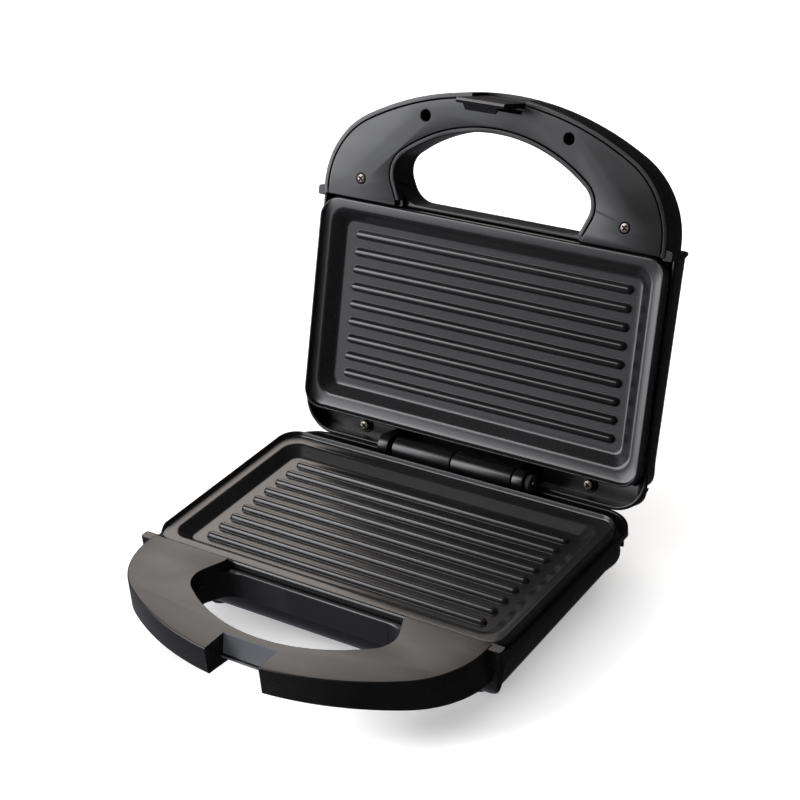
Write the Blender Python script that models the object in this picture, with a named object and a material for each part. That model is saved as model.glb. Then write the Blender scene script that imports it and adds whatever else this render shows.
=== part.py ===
"""Two-slice panini press, lid open: a Blender 4.5 model in metres, +Z up.

The base and the lid are the same clamshell facing each other. Both halves are modelled in half
coordinates: x to the right, y backwards from the front of the cooking plate, and a depth into the
housing, measured from the flat rim of that half's own cooking plate. place() turns a depth into a
height, with the lid closed. The lid is then opened about the hinge by its parent empty.
"""

import math

import bmesh
import bpy
from mathutils import Matrix, Vector

MM = 0.001
GAP = 0.0003

# Where the halves meet, and where they stand.
RIM_HEIGHT = 44 * MM
PLATE_SPACING = 6 * MM
HINGE_Y = 137.6 * MM
HINGE_RISE = 2.1 * MM
OPEN_ANGLE = math.radians(108.26)
MIDDLE_Y = 76.15 * MM

# The tub: the deep part of each housing, behind the handle.
TUB_HALF_WIDTH = 112.6 * MM
TUB_FRONT = 0.5 * MM
TUB_BACK = 143 * MM
TUB_BACK_RADIUS = 20 * MM
TUB_FRONT_RADIUS = 4 * MM
TUB_DEPTH = 36 * MM
TUB_RIM = 4 * MM
TUB_SIDE_STRAIGHT, TUB_FRONT_STRAIGHT, TUB_BACK_STRAIGHT = 5 * MM, 20 * MM, 24 * MM
TUB_SIDE_ROUND, TUB_FRONT_ROUND, TUB_BACK_ROUND = 33 * MM, 16 * MM, 12 * MM
TUB_STEP = 9 * MM
TUB_STEP_DEPTH = 17.2 * MM
WALL = 2.2 * MM

# The handle: a D-shaped slab with a finger loop.
HANDLE_FRONT = -67.0 * MM
HANDLE_CORNER_X = 60.5 * MM
HANDLE_CORNER_Y = -3 * MM
HANDLE_END = 2.5 * MM
HANDLE_FACE = -1.8 * MM
HANDLE_DEPTH_FRONT = 14 * MM
HANDLE_DEPTH_BACK = 20.5 * MM
HANDLE_WALL = 2.4 * MM
LOOP_FRONT = -46.2 * MM
LOOP_FRONT_RADIUS = 94 * MM
LOOP_CORNER_X = 49.5 * MM
LOOP_CORNER_RADIUS = 13 * MM
LOOP_BACK_HALF_WIDTH = 56.5 * MM
EAR_REACH = 114 * MM

# The latch and the notch that it drops into.
NOTCH_HALF_WIDTH = 16.8 * MM
NOTCH_BACK_TOP = -51 * MM
NOTCH_BACK_LOW = -53.6 * MM
NOTCH_LIP = -55 * MM
NOTCH_LIP_DEPTH = 9.2 * MM
NOTCH_CATCH_DEPTH = 10.8 * MM
NOTCH_UNDERCUT = -47.5 * MM
LATCH_HALF_WIDTH = 15 * MM
LATCH_PIVOT_Y = -60.6 * MM
LATCH_PIVOT_DEPTH = 8 * MM
LATCH_OUTER = -64.6 * MM
LATCH_THICKNESS = 2.8 * MM
LATCH_REACH = -21 * MM
LATCH_HOOK = 3.4 * MM

# The cooking plates.
PLATE_HALF_WIDTH = 110 * MM
PLATE_FRONT = 3.3 * MM
PLATE_BACK = 127.6 * MM
PLATE_THICKNESS = 2.2 * MM
UPSTAND = 2.7 * MM
WELL_TOP_HALF_WIDTH = 102.2 * MM
WELL_TOP_FRONT = 10 * MM
WELL_TOP_BACK = 118.6 * MM
WELL_FLOOR_HALF_WIDTH = 95.6 * MM
WELL_FLOOR_FRONT = 15.7 * MM
WELL_FLOOR_BACK = 112.4 * MM
WELL_DEPTH = 5 * MM
RIB_COUNT = 9
RIB_PITCH = 10.15 * MM
RIB_MIDDLE_Y = 63.9 * MM
RIB_LEFT, RIB_RIGHT = -88 * MM, 90.3 * MM
RIB_HALF_WIDTH = 2.5 * MM
RIB_TOP_HALF_WIDTH = 1.5 * MM
RIB_HEIGHT = 2.8 * MM

# The hinge. Each knuckle is (left end, right end).
BARREL_RADIUS = 6.3 * MM
PIN_RADIUS = 2.0 * MM
PIN_HOLE_RADIUS = 2.35 * MM
PIN_LEFT, PIN_RIGHT = -51.2 * MM, 50.5 * MM
BASE_KNUCKLES = ((-40.4 * MM, -1.6 * MM), (38.6 * MM, 45.6 * MM))
LID_KNUCKLES = ((-50.3 * MM, -43.4 * MM), (-1.0 * MM, 38.0 * MM))
KNUCKLE_RELIEF_DEPTH = 8 * MM
DECK_FRONT = 129.4 * MM
DECK_DEPTH = 14 * MM
DECK_THICKNESS = 2.4 * MM

# Screws, feet and what is inside.
COVER_SCREW_X, COVER_SCREW_Y = 84 * MM, -9.2 * MM
PEEP_X, PEEP_Y = 45.2 * MM, -50 * MM
REAR_SCREW_X, REAR_SCREW_Y = 74.6 * MM, 135.1 * MM
POST_X, POST_FRONT_Y, POST_BACK_Y = 82 * MM, 44 * MM, 92 * MM
POST_RADIUS = 4.2 * MM
SCREW_HEAD_RADIUS = 2.9 * MM
SCREW_HEAD_HEIGHT = 1.8 * MM
SCREW_SHANK_RADIUS = 1.4 * MM
FOOT_X, FOOT_FRONT_Y, FOOT_BACK_Y = 84 * MM, 22.5 * MM, 124 * MM
FOOT_RADIUS = 7.5 * MM
ELEMENT_RADIUS = 3.2 * MM
LAMP_X, LAMP_Y = 11 * MM, 28 * MM
GLAND_X, GLAND_DEPTH = -62 * MM, 24.2 * MM

CURVE_STEPS = 6
ROUND_STEPS = 16

COLOURS = {
    "housing": ((0.012, 0.012, 0.013), 0.45, 0.0),
    "plate": ((0.022, 0.022, 0.024), 0.38, 0.3),
    "steel": ((0.42, 0.40, 0.37), 0.35, 1.0),
    "aluminium": ((0.62, 0.62, 0.63), 0.4, 1.0),
    "element": ((0.16, 0.14, 0.12), 0.5, 1.0),
    "rubber": ((0.02, 0.02, 0.02), 0.8, 0.0),
    "phenolic": ((0.05, 0.035, 0.025), 0.5, 0.0),
    "red_lens": ((0.5, 0.02, 0.02), 0.2, 0.0),
    "green_lens": ((0.02, 0.35, 0.06), 0.2, 0.0),
}


# --- Meshes and materials ---------------------------------------------------------------------


def clear_scene():
    for found in list(bpy.data.objects):
        bpy.data.objects.remove(found, do_unlink=True)


def material(name):
    found = bpy.data.materials.get(name)
    if found:
        return found
    colour, roughness, metallic = COLOURS[name]
    made = bpy.data.materials.new(name)
    made.use_nodes = True
    shader = made.node_tree.nodes["Principled BSDF"]
    shader.inputs["Base Color"].default_value = (*colour, 1)
    shader.inputs["Roughness"].default_value = roughness
    shader.inputs["Metallic"].default_value = metallic
    return made


def solid(name, points, faces, finish=None):
    """An object from points and faces, its faces turned outwards."""
    mesh = bpy.data.meshes.new(name)
    mesh.from_pydata([tuple(p) for p in points], [], faces)
    shape = bmesh.new()
    shape.from_mesh(mesh)
    bmesh.ops.recalc_face_normals(shape, faces=shape.faces)
    shape.to_mesh(mesh)
    shape.free()
    made = bpy.data.objects.new(name, mesh)
    bpy.context.scene.collection.objects.link(made)
    if finish:
        mesh.materials.append(material(finish))
    return made


def lofted(name, rings, finish=None):
    """A closed solid through rings of equal length, capped at both ends."""
    count = len(rings[0])
    points = [p for ring in rings for p in ring]
    faces = [list(range(count)), list(range(len(points) - count, len(points)))]
    for level in range(len(rings) - 1):
        for i in range(count):
            a, b = level * count + i, level * count + (i + 1) % count
            faces.append([a, b, b + count, a + count])
    return solid(name, points, faces, finish)


def combine(target, operation, tools):
    """Applies one Boolean for each tool, then removes the tools."""
    for tool in tools:
        modifier = target.modifiers.new(operation, "BOOLEAN")
        modifier.operation = operation
        modifier.solver = "EXACT"
        modifier.object = tool
        graph = bpy.context.evaluated_depsgraph_get()
        result = bpy.data.meshes.new_from_object(target.evaluated_get(graph))
        target.modifiers.clear()
        target.data = result
        bpy.data.objects.remove(tool, do_unlink=True)
    return target


def cut(target, *tools):
    return combine(target, "DIFFERENCE", tools)


def join(target, *tools):
    return combine(target, "UNION", tools)


def smooth(made, angle=35):
    made.data.shade_smooth()
    made.data.set_sharp_from_angle(angle=math.radians(angle))
    return made


# --- Outlines ---------------------------------------------------------------------------------


def arc(x, y, radius, start, end, steps):
    """Points on an arc, its angles in degrees, both ends included."""
    turn = [math.radians(start + (end - start) * i / steps) for i in range(steps + 1)]
    return [(x + radius * math.cos(a), y + radius * math.sin(a)) for a in turn]


def rounded_rect(half_width, front, back, front_radius, back_radius, steps=CURVE_STEPS):
    """Counterclockwise from the front right corner, seen from above."""
    right_front = arc(half_width - front_radius, front + front_radius, front_radius, -90, 0, steps)
    right_back = arc(half_width - back_radius, back - back_radius, back_radius, 0, 90, steps)
    right = right_front + right_back
    return right + [(-x, y) for x, y in reversed(right)]


def front_arc_radius(front, corner_x, corner_y, corner_radius):
    """Radius of the arc that touches y = front and runs smoothly into both corner arcs."""
    drop = corner_y - front
    return (corner_x**2 + drop**2 - corner_radius**2) / (2 * (drop - corner_radius))


def handle_outline(half, inset=0.0, end=HANDLE_END):
    """The D of the handle, closed by a straight line at y = end."""
    radius = front_arc_radius(HANDLE_FRONT, HANDLE_CORNER_X, HANDLE_CORNER_Y, half.corner)
    centre_y = HANDLE_FRONT + radius
    tangent = math.degrees(math.atan2(HANDLE_CORNER_Y - centre_y, HANDLE_CORNER_X))
    front = arc(0, centre_y, radius - inset, -90, tangent, CURVE_STEPS)
    corner_radius = half.corner - inset
    corner = arc(HANDLE_CORNER_X, HANDLE_CORNER_Y, corner_radius, tangent, 0, CURVE_STEPS)
    right = front[:-1] + corner + [(HANDLE_CORNER_X + corner_radius, end)]
    return right + [(-x, y) for x, y in reversed(right[1:])]


def loop_outline(outset=0.0, back=10 * MM):
    """The finger loop: a front arc, two corner arcs and sides that close in to the back."""
    centre_y = LOOP_FRONT + LOOP_FRONT_RADIUS
    reach = LOOP_FRONT_RADIUS - LOOP_CORNER_RADIUS
    corner_y = centre_y - math.sqrt(reach**2 - LOOP_CORNER_X**2)
    tangent = math.degrees(math.atan2(corner_y - centre_y, LOOP_CORNER_X))
    front = arc(0, centre_y, LOOP_FRONT_RADIUS + outset, -90, tangent, CURVE_STEPS)
    corner = arc(
        LOOP_CORNER_X, corner_y, LOOP_CORNER_RADIUS + outset, tangent, 25, CURVE_STEPS
    )
    side = LOOP_BACK_HALF_WIDTH + outset
    right = front[:-1] + corner + [(side, 0), (side, back)]
    return right + [(-x, y) for x, y in reversed(right[1:])]


def along_handle(y):
    """How far y lies from the handle's front, at 0, to the tub, at 1."""
    return (y - HANDLE_FRONT) / (TUB_FRONT - HANDLE_FRONT)


def handle_depth(y):
    """Depth of the handle's outer face, which slopes down towards the tub."""
    return HANDLE_DEPTH_FRONT + (HANDLE_DEPTH_BACK - HANDLE_DEPTH_FRONT) * along_handle(y)


def loop_corner():
    """The filling of the loop's right rear corner: a curve from its side to the tub's front."""
    start, corner, end = (60.9, -9.8), (56.6, 0.4), (46, 0.5)
    curve = []
    for i in range(CURVE_STEPS + 1):
        t = i / CURVE_STEPS
        shares = ((1 - t) ** 2, 2 * t * (1 - t), t**2)
        points = zip(shares, (start, corner, end))
        curve.append([sum(values) for values in zip(*[(k * x, k * y) for k, (x, y) in points])])
    outline = curve + [(46, 1.9), (58.3, 1.9), (62.6, -9.8)]
    return [(x * MM, y * MM) for x, y in outline]


# --- The two halves ---------------------------------------------------------------------------


class Half:
    """The base or the lid: names its pieces and turns depths into heights."""

    def __init__(self, name, face, direction, corner, back_rim, low_round):
        self.name = name
        self.face = face
        self.direction = direction
        self.corner = corner
        self.back_rim = back_rim
        self.low_round = low_round

    def place(self, x, y, depth):
        return (x, y, self.face + self.direction * depth)

    def named(self, piece):
        return f"{self.name}_{piece}"

    def prism(self, outline, top, low, name="tool", finish=None):
        """A solid between two depths, each a number or a function of y."""
        rings = []
        for level in (top, low):
            depth = level if callable(level) else lambda y, level=level: level
            rings.append([self.place(x, y, depth(y)) for x, y in outline])
        return lofted(name, rings, finish)

    def block(self, x0, x1, y0, y1, top, low, name="tool", finish=None):
        outline = [(x0, y0), (x1, y0), (x1, y1), (x0, y1)]
        return self.prism(outline, top, low, name, finish)

    def post(self, x, y, radius, top, low, name="tool", finish=None, steps=ROUND_STEPS):
        circle = arc(x, y, radius, 0, 360, steps)[:-1]
        return self.prism(circle, top, low, name, finish)

    def bar(self, x0, x1, y, depth, radius, name="tool", finish=None, steps=ROUND_STEPS):
        """A round bar along x."""
        circle = arc(y, depth, radius, 0, 360, steps)[:-1]
        rings = [[self.place(x, a, b) for a, b in circle] for x in (x0, x1)]
        return lofted(name, rings, finish)

    def profile(self, outline, x0, x1, name="tool", finish=None):
        """A solid along x from an outline of (y, depth) points."""
        rings = [[self.place(x, y, d) for y, d in outline] for x in (x0, x1)]
        return lofted(name, rings, finish)

    def hinge_depth(self):
        return (RIM_HEIGHT + HINGE_RISE - self.face) / self.direction


BASE = Half("base", RIM_HEIGHT, -1, 46.5 * MM, 4.2 * MM, 2.5 * MM)
LID = Half("lid", RIM_HEIGHT + PLATE_SPACING, 1, 48.5 * MM, 4.8 * MM, 4.5 * MM)


def ease(share):
    share = min(max(share, 0), 1)
    return share * share * (3 - 2 * share)


def tub_ring(half, insets, depths, radius):
    """One ring of the tub; insets and depths are each for its (sides, front, back)."""
    side, front, back = insets
    start, end = TUB_FRONT + front, TUB_BACK - back
    front_radius = max(TUB_FRONT_RADIUS - front, 2 * MM)
    ring = []
    for x, y in rounded_rect(TUB_HALF_WIDTH - side, start, end, front_radius, radius):
        frontness = 1 - ease((y - start) / TUB_FRONT_RADIUS)
        backness = ease((y - end + radius) / radius)
        depth = depths[0] + (depths[1] - depths[0]) * frontness + (depths[2] - depths[0]) * backness
        ring.append(half.place(x, y, depth))
    return ring


def tub_rings(half, wall):
    """The rings of one face of the tub: its rounded underside, the step in its back, its rim."""
    straights = (TUB_SIDE_STRAIGHT, TUB_FRONT_STRAIGHT, TUB_BACK_STRAIGHT)
    rings = []
    for turn in (90, 75, 60, 45, 30, 15, 0):
        lean, fall = 1 - math.cos(math.radians(turn)), math.sin(math.radians(turn))
        insets = (TUB_SIDE_ROUND * lean + wall, TUB_FRONT_ROUND * lean + wall,
                  TUB_STEP + TUB_BACK_ROUND * lean + wall)
        rise = wall * (turn > 0)
        depths = [start + (TUB_DEPTH - start) * fall - rise for start in straights]
        rings.append(tub_ring(half, insets, depths, TUB_BACK_RADIUS - 12 * MM * lean - wall))
    radius = TUB_BACK_RADIUS - wall
    for step, lift in ((TUB_STEP, 0), (0, 0.3 * MM)):
        depths = [TUB_SIDE_STRAIGHT - 0.1 * MM - lift / 3, TUB_FRONT_STRAIGHT - 0.1 * MM - lift / 3,
                  TUB_STEP_DEPTH - lift - wall]
        rings.append(tub_ring(half, (wall, wall, step + wall), depths, radius))
    rings.append(tub_ring(half, (wall,) * 3, (TUB_RIM, TUB_RIM, half.back_rim), radius))
    return rings


def tub(half):
    rings = tub_rings(half, 0) + tub_rings(half, WALL)[::-1]
    return lofted(half.named("housing"), rings, "housing")


def handle_shell(half, open_side):
    """The hollow handle, open below on the base and towards the plate on the lid."""
    outer, inner = handle_outline(half), handle_outline(half, 5 * MM)
    rings = [[half.place(x, y, HANDLE_FACE) for x, y in outer]]
    for turn in (0, 45, 90):
        ring = []
        for (x, y), (inner_x, inner_y) in zip(outer, inner):
            radius = 1.2 * MM + half.low_round * along_handle(y)
            share = radius * (1 - math.cos(math.radians(turn))) / (5 * MM)
            depth = handle_depth(y) - radius * (1 - math.sin(math.radians(turn)))
            ring.append(half.place(x + (inner_x - x) * share, y + (inner_y - y) * share, depth))
        rings.append(ring)
    shell = lofted("tool", rings)
    hollow = handle_outline(half, HANDLE_WALL, HANDLE_END - HANDLE_WALL)
    if open_side == "outer":
        tool = half.prism(hollow, HANDLE_FACE + HANDLE_WALL, 30 * MM)
    else:
        tool = half.prism(hollow, -10 * MM, lambda y: handle_depth(y) - HANDLE_WALL)
    cut(tool, half.prism(loop_outline(HANDLE_WALL, 12 * MM), -12 * MM, 34 * MM))
    cut(shell, tool)
    return cut(shell, half.prism(loop_outline(), -14 * MM, 36 * MM))


def loop_corners(half):
    """The fillings of the loop's rear corners, below its edge."""
    right = loop_corner()
    left = [(-x, y) for x, y in reversed(right)]
    return [half.prism(outline, 4.4 * MM, lambda y: handle_depth(y) - 0.4 * MM)
            for outline in (right, left)]


def ears(half, low):
    outer = EAR_REACH
    inner = HANDLE_CORNER_X + half.corner - HANDLE_WALL * 0.6
    spans = ((inner, outer), (-outer, -inner))
    return [half.block(a, b, -1.6 * MM, 3.9 * MM, -1.5 * MM, low) for a, b in spans]


def deck(half):
    """The shelf behind the plate that carries the knuckles and the rear screws."""
    outline = rounded_rect(
        TUB_HALF_WIDTH - 3.4 * MM, TUB_FRONT, TUB_BACK - WALL / 2, 1 * MM, 17 * MM
    )
    shelf = half.prism(outline, DECK_DEPTH, DECK_DEPTH + DECK_THICKNESS)
    clip = half.block(-1, 1, DECK_FRONT, 1, -1, 1)
    return combine(shelf, "INTERSECT", [clip])


def knuckle(half, span):
    axis = half.hinge_depth()
    low, high = HINGE_Y - BARREL_RADIUS, HINGE_Y + BARREL_RADIUS
    web_back = TUB_BACK - WALL / 2
    foot = DECK_DEPTH + DECK_THICKNESS / 2
    web = half.profile(
        [(low + 0.4 * MM, axis), (web_back, axis), (web_back, foot), (low - 1.2 * MM, foot)],
        span[0],
        span[1],
    )
    return join(half.bar(span[0], span[1], HINGE_Y, axis, BARREL_RADIUS), web)


def housing(half, open_side, knuckles, ear_depth):
    made = tub(half)
    join(made, handle_shell(half, open_side), *ears(half, ear_depth), deck(half))
    join(made, *loop_corners(half))
    join(made, *[knuckle(half, span) for span in knuckles])
    cut(made, half.bar(PIN_LEFT - 5 * MM, PIN_RIGHT + 5 * MM, HINGE_Y, half.hinge_depth(),
                       PIN_HOLE_RADIUS))
    for x in (-REAR_SCREW_X, REAR_SCREW_X):
        boss = half.post(x, REAR_SCREW_Y, 4.4 * MM, DECK_DEPTH - 1 * MM, DECK_DEPTH + 8 * MM)
        join(made, boss)
        hole = half.post(x, REAR_SCREW_Y, SCREW_SHANK_RADIUS + GAP, 0, DECK_DEPTH + 6.5 * MM)
        cut(made, hole)
    return made


def notch_tool():
    """The slot in the base handle: a back wall with a lip that the latch hooks under."""
    under = NOTCH_UNDERCUT
    outline = [
        (-80 * MM, -6 * MM),
        (NOTCH_BACK_TOP, -6 * MM),
        (NOTCH_BACK_TOP, HANDLE_FACE),
        (NOTCH_BACK_LOW, NOTCH_LIP_DEPTH),
        (NOTCH_LIP, NOTCH_LIP_DEPTH),
        (NOTCH_LIP, NOTCH_CATCH_DEPTH),
        (under, NOTCH_CATCH_DEPTH),
        (under, 30 * MM),
        (-80 * MM, 30 * MM),
    ]
    return BASE.profile(outline, -NOTCH_HALF_WIDTH, NOTCH_HALF_WIDTH)


def front_block(half):
    """Solid plastic round the notch, which fills the hollow handle there."""
    reach = NOTCH_HALF_WIDTH + HANDLE_WALL
    outline = handle_outline(half, HANDLE_WALL / 2)
    block = half.prism(outline, HANDLE_FACE + HANDLE_WALL / 2, lambda y: handle_depth(y) - 0.2 * MM)
    clip = half.block(-reach, reach, -90 * MM, LOOP_FRONT + HANDLE_WALL / 2 - 0.2 * MM, -1, 1)
    combine(block, "INTERSECT", [clip])
    return cut(block, half.prism(loop_outline(HANDLE_WALL / 2), -14 * MM, 36 * MM))


def handle_cover(half, name, inset, clearance, top, low, end):
    """A handle cover: the D inside its wall, with the finger loop cut out."""
    made = half.prism(handle_outline(half, inset, end), top, low, name, "housing")
    return cut(made, half.prism(loop_outline(clearance, 14 * MM), -14 * MM, 40 * MM))


def cover_post(half, x, top, low):
    """A screw post in the handle, which holds the cover's screw."""
    return half.post(x, COVER_SCREW_Y, 3.6 * MM, top, low)


def screw(half, name, x, y, head_at, towards, length):
    """A pan-head screw along the depth; towards is the direction in which its shank runs."""
    turn = arc(0, 0, 1, 0, 360, 12)[:-1]
    levels = [
        (SCREW_HEAD_RADIUS * 0.55, head_at),
        (SCREW_HEAD_RADIUS, head_at + towards * SCREW_HEAD_HEIGHT * 0.45),
        (SCREW_HEAD_RADIUS, head_at + towards * SCREW_HEAD_HEIGHT),
        (SCREW_SHANK_RADIUS, head_at + towards * SCREW_HEAD_HEIGHT),
        (SCREW_SHANK_RADIUS, head_at + towards * length),
    ]
    rings = [[half.place(x + r * a, y + r * b, d) for a, b in turn] for r, d in levels]
    return smooth(lofted(name, rings, "steel"))


def screw_pair(half, piece, x, y, head_at, towards, length):
    made = []
    for side, sign in (("left", -1), ("right", 1)):
        name = half.named(f"{piece}_{side}")
        made.append(screw(half, name, sign * x, y, head_at, towards, length))
    return made


def shank_hole(half, made, x, y, top=-1, low=1):
    return cut(made, half.post(x, y, SCREW_SHANK_RADIUS + GAP, top, low))


def head_recess(half, made, x, y, top, low):
    return cut(made, half.post(x, y, SCREW_HEAD_RADIUS + GAP, top, low))


# --- Cooking plates and what heats them -------------------------------------------------------


def cooking_plate(half):
    """A pressed plate: a well with a rim, an upstand on three sides and an outer skirt."""
    under = PLATE_THICKNESS
    skirt = 5 * MM

    def ring(half_width, front, back, radius, depth, rise=0.0):
        outline = rounded_rect(half_width, front, back, radius, radius)
        lifted = []
        for x, y in outline:
            share = ease((y - front) / (radius + 3 * MM))
            lifted.append(half.place(x, y, depth - rise * share))
        return lifted

    top = [
        ring(WELL_FLOOR_HALF_WIDTH, WELL_FLOOR_FRONT, WELL_FLOOR_BACK, 5 * MM, WELL_DEPTH),
        ring(WELL_TOP_HALF_WIDTH, WELL_TOP_FRONT, WELL_TOP_BACK, 9 * MM, 0),
        ring(PLATE_HALF_WIDTH - 1.9 * MM, PLATE_FRONT + 1.6 * MM, PLATE_BACK - 1.9 * MM,
             9.3 * MM, 0),
        ring(PLATE_HALF_WIDTH - 1.3 * MM, PLATE_FRONT + 1.1 * MM, PLATE_BACK - 1.3 * MM,
             9.9 * MM, 0.1 * MM, UPSTAND),
        ring(PLATE_HALF_WIDTH - 0.3 * MM, PLATE_FRONT + 0.3 * MM, PLATE_BACK - 0.3 * MM,
             10.9 * MM, 0.7 * MM, UPSTAND + 0.5 * MM),
        ring(PLATE_HALF_WIDTH, PLATE_FRONT, PLATE_BACK, 11.2 * MM, 2 * MM, UPSTAND),
        ring(PLATE_HALF_WIDTH, PLATE_FRONT, PLATE_BACK, 11.2 * MM, skirt),
    ]
    low = [
        ring(PLATE_HALF_WIDTH - 1.6 * MM, PLATE_FRONT + 1.6 * MM, PLATE_BACK - 1.6 * MM,
             9.6 * MM, skirt),
        ring(PLATE_HALF_WIDTH - 2 * MM, PLATE_FRONT + 2 * MM, PLATE_BACK - 2 * MM,
             9.2 * MM, under),
        ring(WELL_TOP_HALF_WIDTH + 1.4 * MM, WELL_TOP_FRONT - 1.4 * MM, WELL_TOP_BACK + 1.4 * MM,
             9 * MM, under),
        ring(WELL_FLOOR_HALF_WIDTH + 1.2 * MM, WELL_FLOOR_FRONT - 1.2 * MM,
             WELL_FLOOR_BACK + 1.2 * MM, 6 * MM, WELL_DEPTH + under),
    ]
    made = lofted(half.named("cooking_plate"), top + low, "plate")
    join(made, *[rib(half, RIB_MIDDLE_Y + RIB_PITCH * (i - (RIB_COUNT - 1) / 2))
                 for i in range(RIB_COUNT)])
    return smooth(made, 30)


def rib(half, y):
    """One rib with rounded ends, sunk a little into the plate's floor."""
    rings = []
    for inset, half_width, depth in (
        (0, RIB_HALF_WIDTH, WELL_DEPTH + 1 * MM),
        (0, RIB_HALF_WIDTH, WELL_DEPTH - 0.9 * MM),
        (0.8 * MM, RIB_TOP_HALF_WIDTH, WELL_DEPTH - RIB_HEIGHT),
    ):
        end = inset + half_width
        outline = arc(RIB_RIGHT - end, y, half_width, -90, 90, 4)
        outline += arc(RIB_LEFT + end, y, half_width, 90, 270, 4)
        rings.append([half.place(px, py, depth) for px, py in outline])
    return lofted("tool", rings)


def heating_element(half):
    """A sheathed tube bent into an M under the plate, its ends turned down for the wires."""
    depth = WELL_DEPTH + PLATE_THICKNESS + ELEMENT_RADIUS + GAP
    right = [(66, 112), (66, 36)] + [(52 + 14 * math.cos(a), 36 - 14 * math.sin(a))
                                     for a in [math.pi * i / 8 for i in range(1, 8)]]
    right += [(38, 36), (38, 84)] + [(19 + 19 * math.cos(a), 84 + 19 * math.sin(a))
                                     for a in [math.pi * i / 8 for i in range(1, 4)]]
    right += [(19, 103), (0, 103)]
    route = [(x, y, 0) for x, y in right]
    route = [(66, 116, 9), (66, 115, 3)] + route
    route += [(-x, y, d) for x, y, d in reversed(route[:-1])]
    curve = bpy.data.curves.new(half.named("heating_element"), "CURVE")
    curve.dimensions = "3D"
    curve.bevel_depth = ELEMENT_RADIUS
    curve.bevel_resolution = 1
    curve.use_fill_caps = True
    spline = curve.splines.new("POLY")
    spline.points.add(len(route) - 1)
    for point, (x, y, down) in zip(spline.points, route):
        point.co = (*half.place(x * MM, y * MM, depth + down * MM), 1)
    made = bpy.data.objects.new(half.named("heating_element"), curve)
    bpy.context.scene.collection.objects.link(made)
    curve.materials.append(material("element"))
    return made


def reflector(half):
    """A folded aluminium tray behind the element."""
    rings = []
    for inset, depth in ((2.0, 24), (0, 17), (1.0, 17), (3.0, 23)):
        outline = rounded_rect((75 - inset) * MM, (14 + inset) * MM, (111 - inset) * MM,
                               4 * MM, 4 * MM, 2)
        rings.append([half.place(x, y, depth * MM) for x, y in outline])
    return lofted(half.named("reflector"), rings, "aluminium")


# --- The base ---------------------------------------------------------------------------------


def base_housing():
    made = housing(BASE, "outer", BASE_KNUCKLES, 9.5 * MM)
    join(made, front_block(BASE))
    cut(made, notch_tool())
    for left, right in LID_KNUCKLES:
        cut(made, BASE.block(left - 0.5 * MM, right + 0.5 * MM, TUB_BACK - WALL - 1.4 * MM,
                             TUB_BACK + 2 * MM, -1 * MM, KNUCKLE_RELIEF_DEPTH))
    for sign in (-1, 1):
        x = sign * COVER_SCREW_X
        join(made, cover_post(BASE, x, HANDLE_FACE + HANDLE_WALL / 2, 14.4 * MM))
        shank_hole(BASE, made, x, COVER_SCREW_Y, 4 * MM, 40 * MM)
        for y in (POST_FRONT_Y, POST_BACK_Y):
            x = sign * POST_X
            join(made, BASE.post(x, y, POST_RADIUS, 9.5 * MM, TUB_DEPTH - WALL / 2))
            shank_hole(BASE, made, x, y, 5 * MM, 50 * MM)
            head_recess(BASE, made, x, y, TUB_DEPTH - 3 * MM, 50 * MM)
        for y, top in ((FOOT_FRONT_Y, TUB_DEPTH - 4 * MM), (FOOT_BACK_Y, TUB_BACK_STRAIGHT)):
            join(made, BASE.post(sign * FOOT_X, y, FOOT_RADIUS + 1.1 * MM, top, TUB_DEPTH))
    return smooth(cut(made, gland_tool()))


def gland_tool():
    turn = arc(GLAND_X, GLAND_DEPTH, 4.8 * MM + GAP, 0, 360, ROUND_STEPS)[:-1]
    rings = [[BASE.place(x, y * MM, d) for x, d in turn] for y in (120, 160)]
    return lofted("tool", rings)


def cord_gland():
    """The bush in the rear wall where the mains lead would leave."""
    profile = ((4.8, 127.5), (4.8, 134.3), (6.2, 134.6), (6.2, 136.4), (5.2, 137.4),
               (4.4, 141.5), (3.2, 141.5), (3.2, 127.5))
    turn = arc(0, 0, 1, 0, 360, ROUND_STEPS)[:-1]
    rings = []
    for radius, y in profile:
        ring = [BASE.place(GLAND_X + radius * MM * a, y * MM, GLAND_DEPTH + radius * MM * b)
                for a, b in turn]
        rings.append(ring)
    count = len(turn)
    points = [p for ring in rings for p in ring]
    faces = []
    for level in range(len(rings)):
        after = (level + 1) % len(rings)
        for i in range(count):
            j = (i + 1) % count
            faces.append([level * count + i, level * count + j, after * count + j,
                          after * count + i])
    return smooth(solid("cord_gland", points, faces, "rubber"))


def base_handle_covers():
    """The two plates that close the base handle from below, one on each side of the notch."""
    end = HANDLE_END - HANDLE_WALL - GAP
    reach = NOTCH_HALF_WIDTH + HANDLE_WALL + GAP
    made = []
    for side, sign in (("left", -1), ("right", 1)):
        cover = handle_cover(
            BASE, f"base_handle_cover_{side}", HANDLE_WALL + GAP, HANDLE_WALL + GAP,
            lambda y: handle_depth(y) - 2.3 * MM, lambda y: handle_depth(y) - 0.3 * MM, end,
        )
        inner, outer = sorted((sign * reach, sign * 1.0))
        combine(cover, "INTERSECT", [BASE.block(inner, outer, -1, 1, -1, 1)])
        shank_hole(BASE, cover, sign * COVER_SCREW_X, COVER_SCREW_Y)
        made.append(smooth(cover))
    return made


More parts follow.
